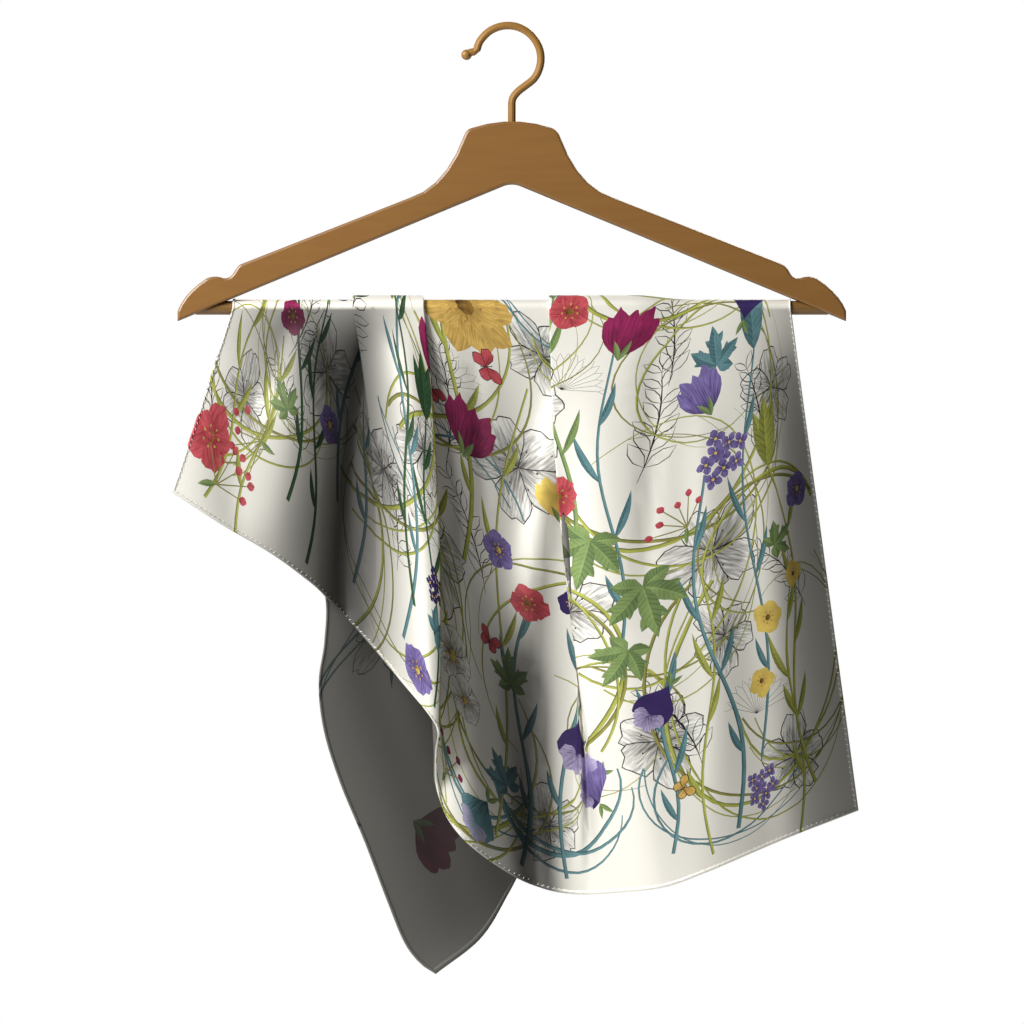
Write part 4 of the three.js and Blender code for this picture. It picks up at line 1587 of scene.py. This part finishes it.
    def build(self, stretch: Stretch) -> bpy.types.Object:
        """Builds one draped piece of the scarf.

        Args:
            stretch: Which piece.

        Returns:
            The piece as one closed shell.
        """
        every = list(range(len(self.patches)))
        through = every
        if stretch is Stretch.FRONT:
            through = [i for i in every if self.patches[i].is_broad]
        flat, triangles, owner = self.cut(self.border(stretch), every)
        rim = self.rim(triangles)
        under, under_triangles, under_owner = self.cut(flat[rim], through)
        under_rim = np.array(self.rim(under_triangles))
        gaps = np.linalg.norm(flat[rim][:, None] - under[under_rim][None], axis=2)
        below = under_rim[gaps.argmin(1)] + len(flat)
        walls = []
        for i, corner in enumerate(rim):
            before = [corner, rim[i - 1], int(below[i - 1]), int(below[i])]
            walls.append(before if before[2] != before[3] else before[:3])
        faces = triangles.tolist() + (under_triangles[:, ::-1] + len(flat)).tolist() + walls
        owner = np.concatenate([owner, under_owner, np.full(len(walls), -1)])
        places = np.vstack([flat, under])
        side = np.repeat([1.0, -1.0], [len(flat), len(under)])
        mesh = bpy.data.meshes.new(stretch.value)
        mesh.from_pydata(np.column_stack([places, side]).tolist(), [], faces)
        self._paint(mesh, places[:, :2], owner)
        run, way = self.drape.place(places[:, 0], places[:, 1])
        draped = np.zeros((len(places), 3))
        facing = np.zeros((len(places), 3))
        for value in (1.0, -1.0):
            here = side == value
            draped[here] = self.drape.skin(run[here], way[here], value)
            facing[here] = self.drape.skin_normal(run[here], way[here], value)
        mesh.vertices.foreach_set("co", (draped * MM).ravel())
        mesh.update()
        self._turn_out(mesh, facing, side)
        return add_object(stretch.value, mesh)

    def flat_area(self, stretch: Stretch) -> float:
        """Finds the area of one piece before it was draped, in square metres."""
        x, y = (self.border(stretch) * MM).T
        return float((x * np.roll(y, -1) - y * np.roll(x, -1)).sum() / 2)

    def _turn_out(self, mesh: bpy.types.Mesh, facing: np.ndarray, side: np.ndarray) -> None:
        """Turns the faces outwards, gives each side its material and smooths the shading.

        Args:
            mesh: The closed shell.
            facing: The way that each vertex faces.
            side: 1 for a vertex of the outer skin, -1 for one of the inner.
        """
        corners = read_all(mesh.loops, "vertex_index")
        starts = read_all(mesh.polygons, "loop_start")
        agree = (read_all(mesh.polygons, "normal", 3) * facing[corners[starts]]).sum(1)
        skins = read_all(mesh.polygons, "loop_total") == 3
        if agree[skins].mean() < 0:
            mesh.flip_normals()
            corners = read_all(mesh.loops, "vertex_index")
        for material in self.materials:
            mesh.materials.append(material)
        slots = np.where(side[corners[starts]] > 0, 0, 1).astype(np.int32)
        mesh.polygons.foreach_set("material_index", slots)
        mesh.polygons.foreach_set("use_smooth", np.ones(len(mesh.polygons), bool))
        mesh.normals_split_custom_set_from_vertices(facing.tolist())


@dataclass(frozen=True)
class StitchSizes:
    """Sizes of the hand stitches that hold the rolled hem, in millimetres."""

    pitch: float = 3.8
    inset: float = 2.3
    length: float = 2.1
    thickness: float = 0.55
    slant: float = 0.8
    flatness: float = 0.8
    lift: float = 0.1
    unevenness: float = 0.12
    look_ahead: float = 0.8


class HemStitches:
    """The row of slanted hand stitches along all four hems."""

    def __init__(self, sizes: StitchSizes, cloth: ClothSizes, drape: Drape) -> None:
        """Takes the sizes of the stitches and of the cloth, and the drape.

        Args:
            sizes: The sizes of the stitches.
            cloth: The cloth's sizes.
            drape: What places them on the cloth.
        """
        self.sizes = sizes
        self.cloth = cloth
        self.drape = drape
        self.thread = PlainFinish("ivory silk thread", "#f7f5ef", 0.5).material()

    def _spots(self) -> tuple[np.ndarray, np.ndarray]:
        """Lists where the stitches are on the flat square, and which way each one runs.

        Returns:
            The places, and the way of each stitch in radians.
        """
        side, inset = self.cloth.side, self.sizes.inset
        along = np.arange(4, side - 4, self.sizes.pitch)
        low, high = np.full_like(along, inset), np.full_like(along, side - inset)
        slant, count = self.sizes.slant, len(along)
        rows = ((along, low), (high, along), (along[::-1], high), (low, along[::-1]))
        spots = [np.stack(row, 1) for row in rows]
        turns = [np.full(count, quarter * math.pi / 2 + slant) for quarter in range(4)]
        return np.vstack(spots), np.concatenate(turns)

    def build(self, stretch: Stretch) -> bpy.types.Object:
        """Builds the stitches of one piece as one mesh.

        Args:
            stretch: Which piece.

        Returns:
            The stitches.
        """
        grain = bmesh.new()
        bmesh.ops.create_uvsphere(grain, u_segments=8, v_segments=5, radius=0.5)
        template = np.array([v.co[:] for v in grain.verts])
        faces = [[v.index for v in f.verts] for f in grain.faces]
        grain.free()
        spots, turns = self._spots()
        _, way = self.drape.place(*spots.T)
        here = (way < 2) if stretch is Stretch.FRONT else (way >= 2)
        spots, turns = spots[here], turns[here]
        size = self.sizes
        chance = np.random.default_rng(STITCH_SEED)
        spots = spots + chance.normal(0, size.unevenness, spots.shape)
        ahead = spots + size.look_ahead * np.stack([np.cos(turns), np.sin(turns)], 1)
        start = self.drape.skin(*self.drape.place(*spots.T), 1.0)
        end = self.drape.skin(*self.drape.place(*np.clip(ahead, 0, self.cloth.side).T), 1.0)
        up = self.drape.skin_normal(*self.drape.place(*spots.T), 1.0)
        way = end - start
        way /= np.linalg.norm(way, axis=1, keepdims=True)
        across = np.cross(up, way)
        across /= np.linalg.norm(across, axis=1, keepdims=True)
        lift = np.cross(way, across)
        scaled = template * (size.thickness, size.thickness, size.length)
        shape = scaled[None, :, 2, None] * way[:, None] + scaled[None, :, 0, None] * across[:, None]
        shape = shape + scaled[None, :, 1, None] * lift[:, None] * size.flatness
        points = start[:, None] + size.lift * lift[:, None] + shape
        count = len(template)
        all_faces = [[i * count + v for v in f] for i in range(len(spots)) for f in faces]
        name = f"hem_stitches_{stretch.name.lower()}"
        mesh = bpy.data.meshes.new(name)
        mesh.from_pydata((points.reshape(-1, 3) * MM).tolist(), [], all_faces)
        mesh.polygons.foreach_set("use_smooth", np.ones(len(mesh.polygons), bool))
        mesh.materials.append(self.thread)
        return add_object(name, mesh)


@dataclass(frozen=True)
class Lamp:
    """A soft round lamp that faces the object.

    Turn is its angle round the object from the front, left below 0, and lift its angle above the
    object's middle, both in degrees. Distance and size are in metres, and power is in watts.
    """

    name: str
    turn: float
    lift: float
    distance: float
    size: float
    power: float


@dataclass(frozen=True)
class StudioSizes:
    """Sizes of the studio, in metres, and its lights."""

    aim: tuple[float, float, float] = (0.0027, 0.0, -0.3252)
    view_width: float = 0.690
    camera_distance: float = 5.0
    floor_z: float = -0.9
    floor_radius: float = 1.5
    sensor_width: float = 36.0
    ambient: float = 0.06
    lamps: tuple[Lamp, ...] = (
        Lamp("key", -52, 32, 1.8, 0.9, 52),
        Lamp("back light", 150, 35, 2.2, 1.0, 22),
    )


class Studio:
    """The floor, the light and the camera."""

    def __init__(self, sizes: StudioSizes) -> None:
        """Takes the studio's sizes."""
        self.sizes = sizes

    def _floor(self) -> None:
        """Lays a pale round floor well below the cloth."""
        disc = bmesh.new()
        bmesh.ops.create_circle(disc, cap_ends=True, segments=96, radius=self.sizes.floor_radius)
        bmesh.ops.translate(disc, vec=(0, 0, self.sizes.floor_z), verts=disc.verts[:])
        mesh = bpy.data.meshes.new("floor")
        disc.to_mesh(mesh)
        disc.free()
        mesh.materials.append(PlainFinish("matt white floor", "#f4f3f0", 0.8).material())
        add_object("floor", mesh)

    def _area(self, lamp: Lamp) -> None:
        """Hangs one lamp.

        Args:
            lamp: The lamp.
        """
        light = bpy.data.lights.new(lamp.name, "AREA")
        light.shape = "DISK"
        light.size = lamp.size
        light.energy = lamp.power
        light.color = (1.0, 0.985, 0.96)
        holder = add_object(lamp.name, light)
        holder.visible_camera = False
        around, up = math.radians(lamp.turn), math.radians(lamp.lift)
        level = math.cos(up)
        way = Vector((math.sin(around) * level, -math.cos(around) * level, math.sin(up)))
        holder.location = Vector(self.sizes.aim) + way * lamp.distance
        holder.rotation_euler = way.to_track_quat("Z", "Y").to_euler()

    def _world(self) -> None:
        """Makes the surroundings white to the camera and dim for the object's light."""
        world = bpy.data.worlds.new("studio")
        world.use_nodes = True
        tree = world.node_tree
        tree.nodes.clear()
        path = add_node(tree, "ShaderNodeLightPath")
        seen = add_node(tree, "ShaderNodeBackground", {"Color": (1, 1, 1, 1), "Strength": 1.0})
        dim = {"Color": (0.96, 0.98, 1, 1), "Strength": self.sizes.ambient}
        around = add_node(tree, "ShaderNodeBackground", dim)
        sources = {0: path.outputs["Is Camera Ray"], 1: around.outputs[0], 2: seen.outputs[0]}
        both = add_node(tree, "ShaderNodeMixShader", sources)
        add_node(tree, "ShaderNodeOutputWorld", {"Surface": both.outputs[0]})
        bpy.context.scene.world = world

    def _camera(self) -> None:
        """Sets the camera straight in front, with a long lens."""
        sizes = self.sizes
        lens = bpy.data.cameras.new("camera")
        lens.sensor_width = sizes.sensor_width
        lens.lens = sizes.sensor_width * sizes.camera_distance / sizes.view_width
        lens.clip_end = 100.0
        camera = add_object("camera", lens)
        camera.location = (sizes.aim[0], -sizes.camera_distance, sizes.aim[2])
        camera.rotation_euler = (math.pi / 2, 0, 0)
        bpy.context.scene.camera = camera

    def build(self) -> None:
        """Sets up the whole studio."""
        self._floor()
        self._world()
        for lamp in self.sizes.lamps:
            self._area(lamp)
        self._camera()
        view = bpy.context.scene.view_settings
        view.view_transform = "Standard"
        view.look = "None"


@dataclass
class Sizes:
    """All sizes of what is built here."""

    cloth: ClothSizes = field(default_factory=ClothSizes)
    stitches: StitchSizes = field(default_factory=StitchSizes)
    studio: StudioSizes = field(default_factory=StudioSizes)


def dress_hanger(nodes: dict[str, bpy.types.Object]) -> None:
    """Gives the hanger's own pieces their finishes.

    Args:
        nodes: The frame's nodes by name.
    """
    finishes = {
        "hanger_body": WoodFinish("satin brown stained wood", "#87602e", "#80592b").material(),
        "trouser_bar": WoodFinish("brown stained bar wood", "#7a592b", "#725328").material(),
        "hook": PlainFinish("brown lacquered wire", "#9a7138", 0.35, 0.1).material(),
    }
    for name, material in finishes.items():
        mesh = nodes[name].data
        mesh.materials.clear()
        mesh.materials.append(material)


def main() -> None:
    """Builds the scene."""
    logging.basicConfig(level=logging.INFO, format="%(message)s")
    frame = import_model()
    sizes = Sizes()
    dress_hanger(frame["nodes"])
    log.info("hanger dressed")
    patches = Garden(PRINT_SEED).paint()
    log.info("print laid out: %d patches", len(patches))
    drape = Drape(sizes.cloth)
    scarf = Scarf(sizes.cloth, drape, patches)
    stitcher = HemStitches(sizes.stitches, sizes.cloth, drape)
    for stretch in Stretch:
        piece = scarf.build(stretch)
        log.info("%s draped: %d faces", piece.name, len(piece.data.polygons))
        stitches = stitcher.build(stretch)
        log.info("%s stitched: %d faces", stitches.name, len(stitches.data.polygons))
        for part in (piece, stitches):
            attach(part, "root")
        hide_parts(*CLOTH_NODES[stretch])
        flat = tuple(float(span) * MM for span in np.ptp(scarf.border(stretch), axis=0))
        area = scarf.flat_area(stretch)
    Studio(sizes.studio).build()
    log.info("studio set up")


if __name__ == "__main__":
    main()
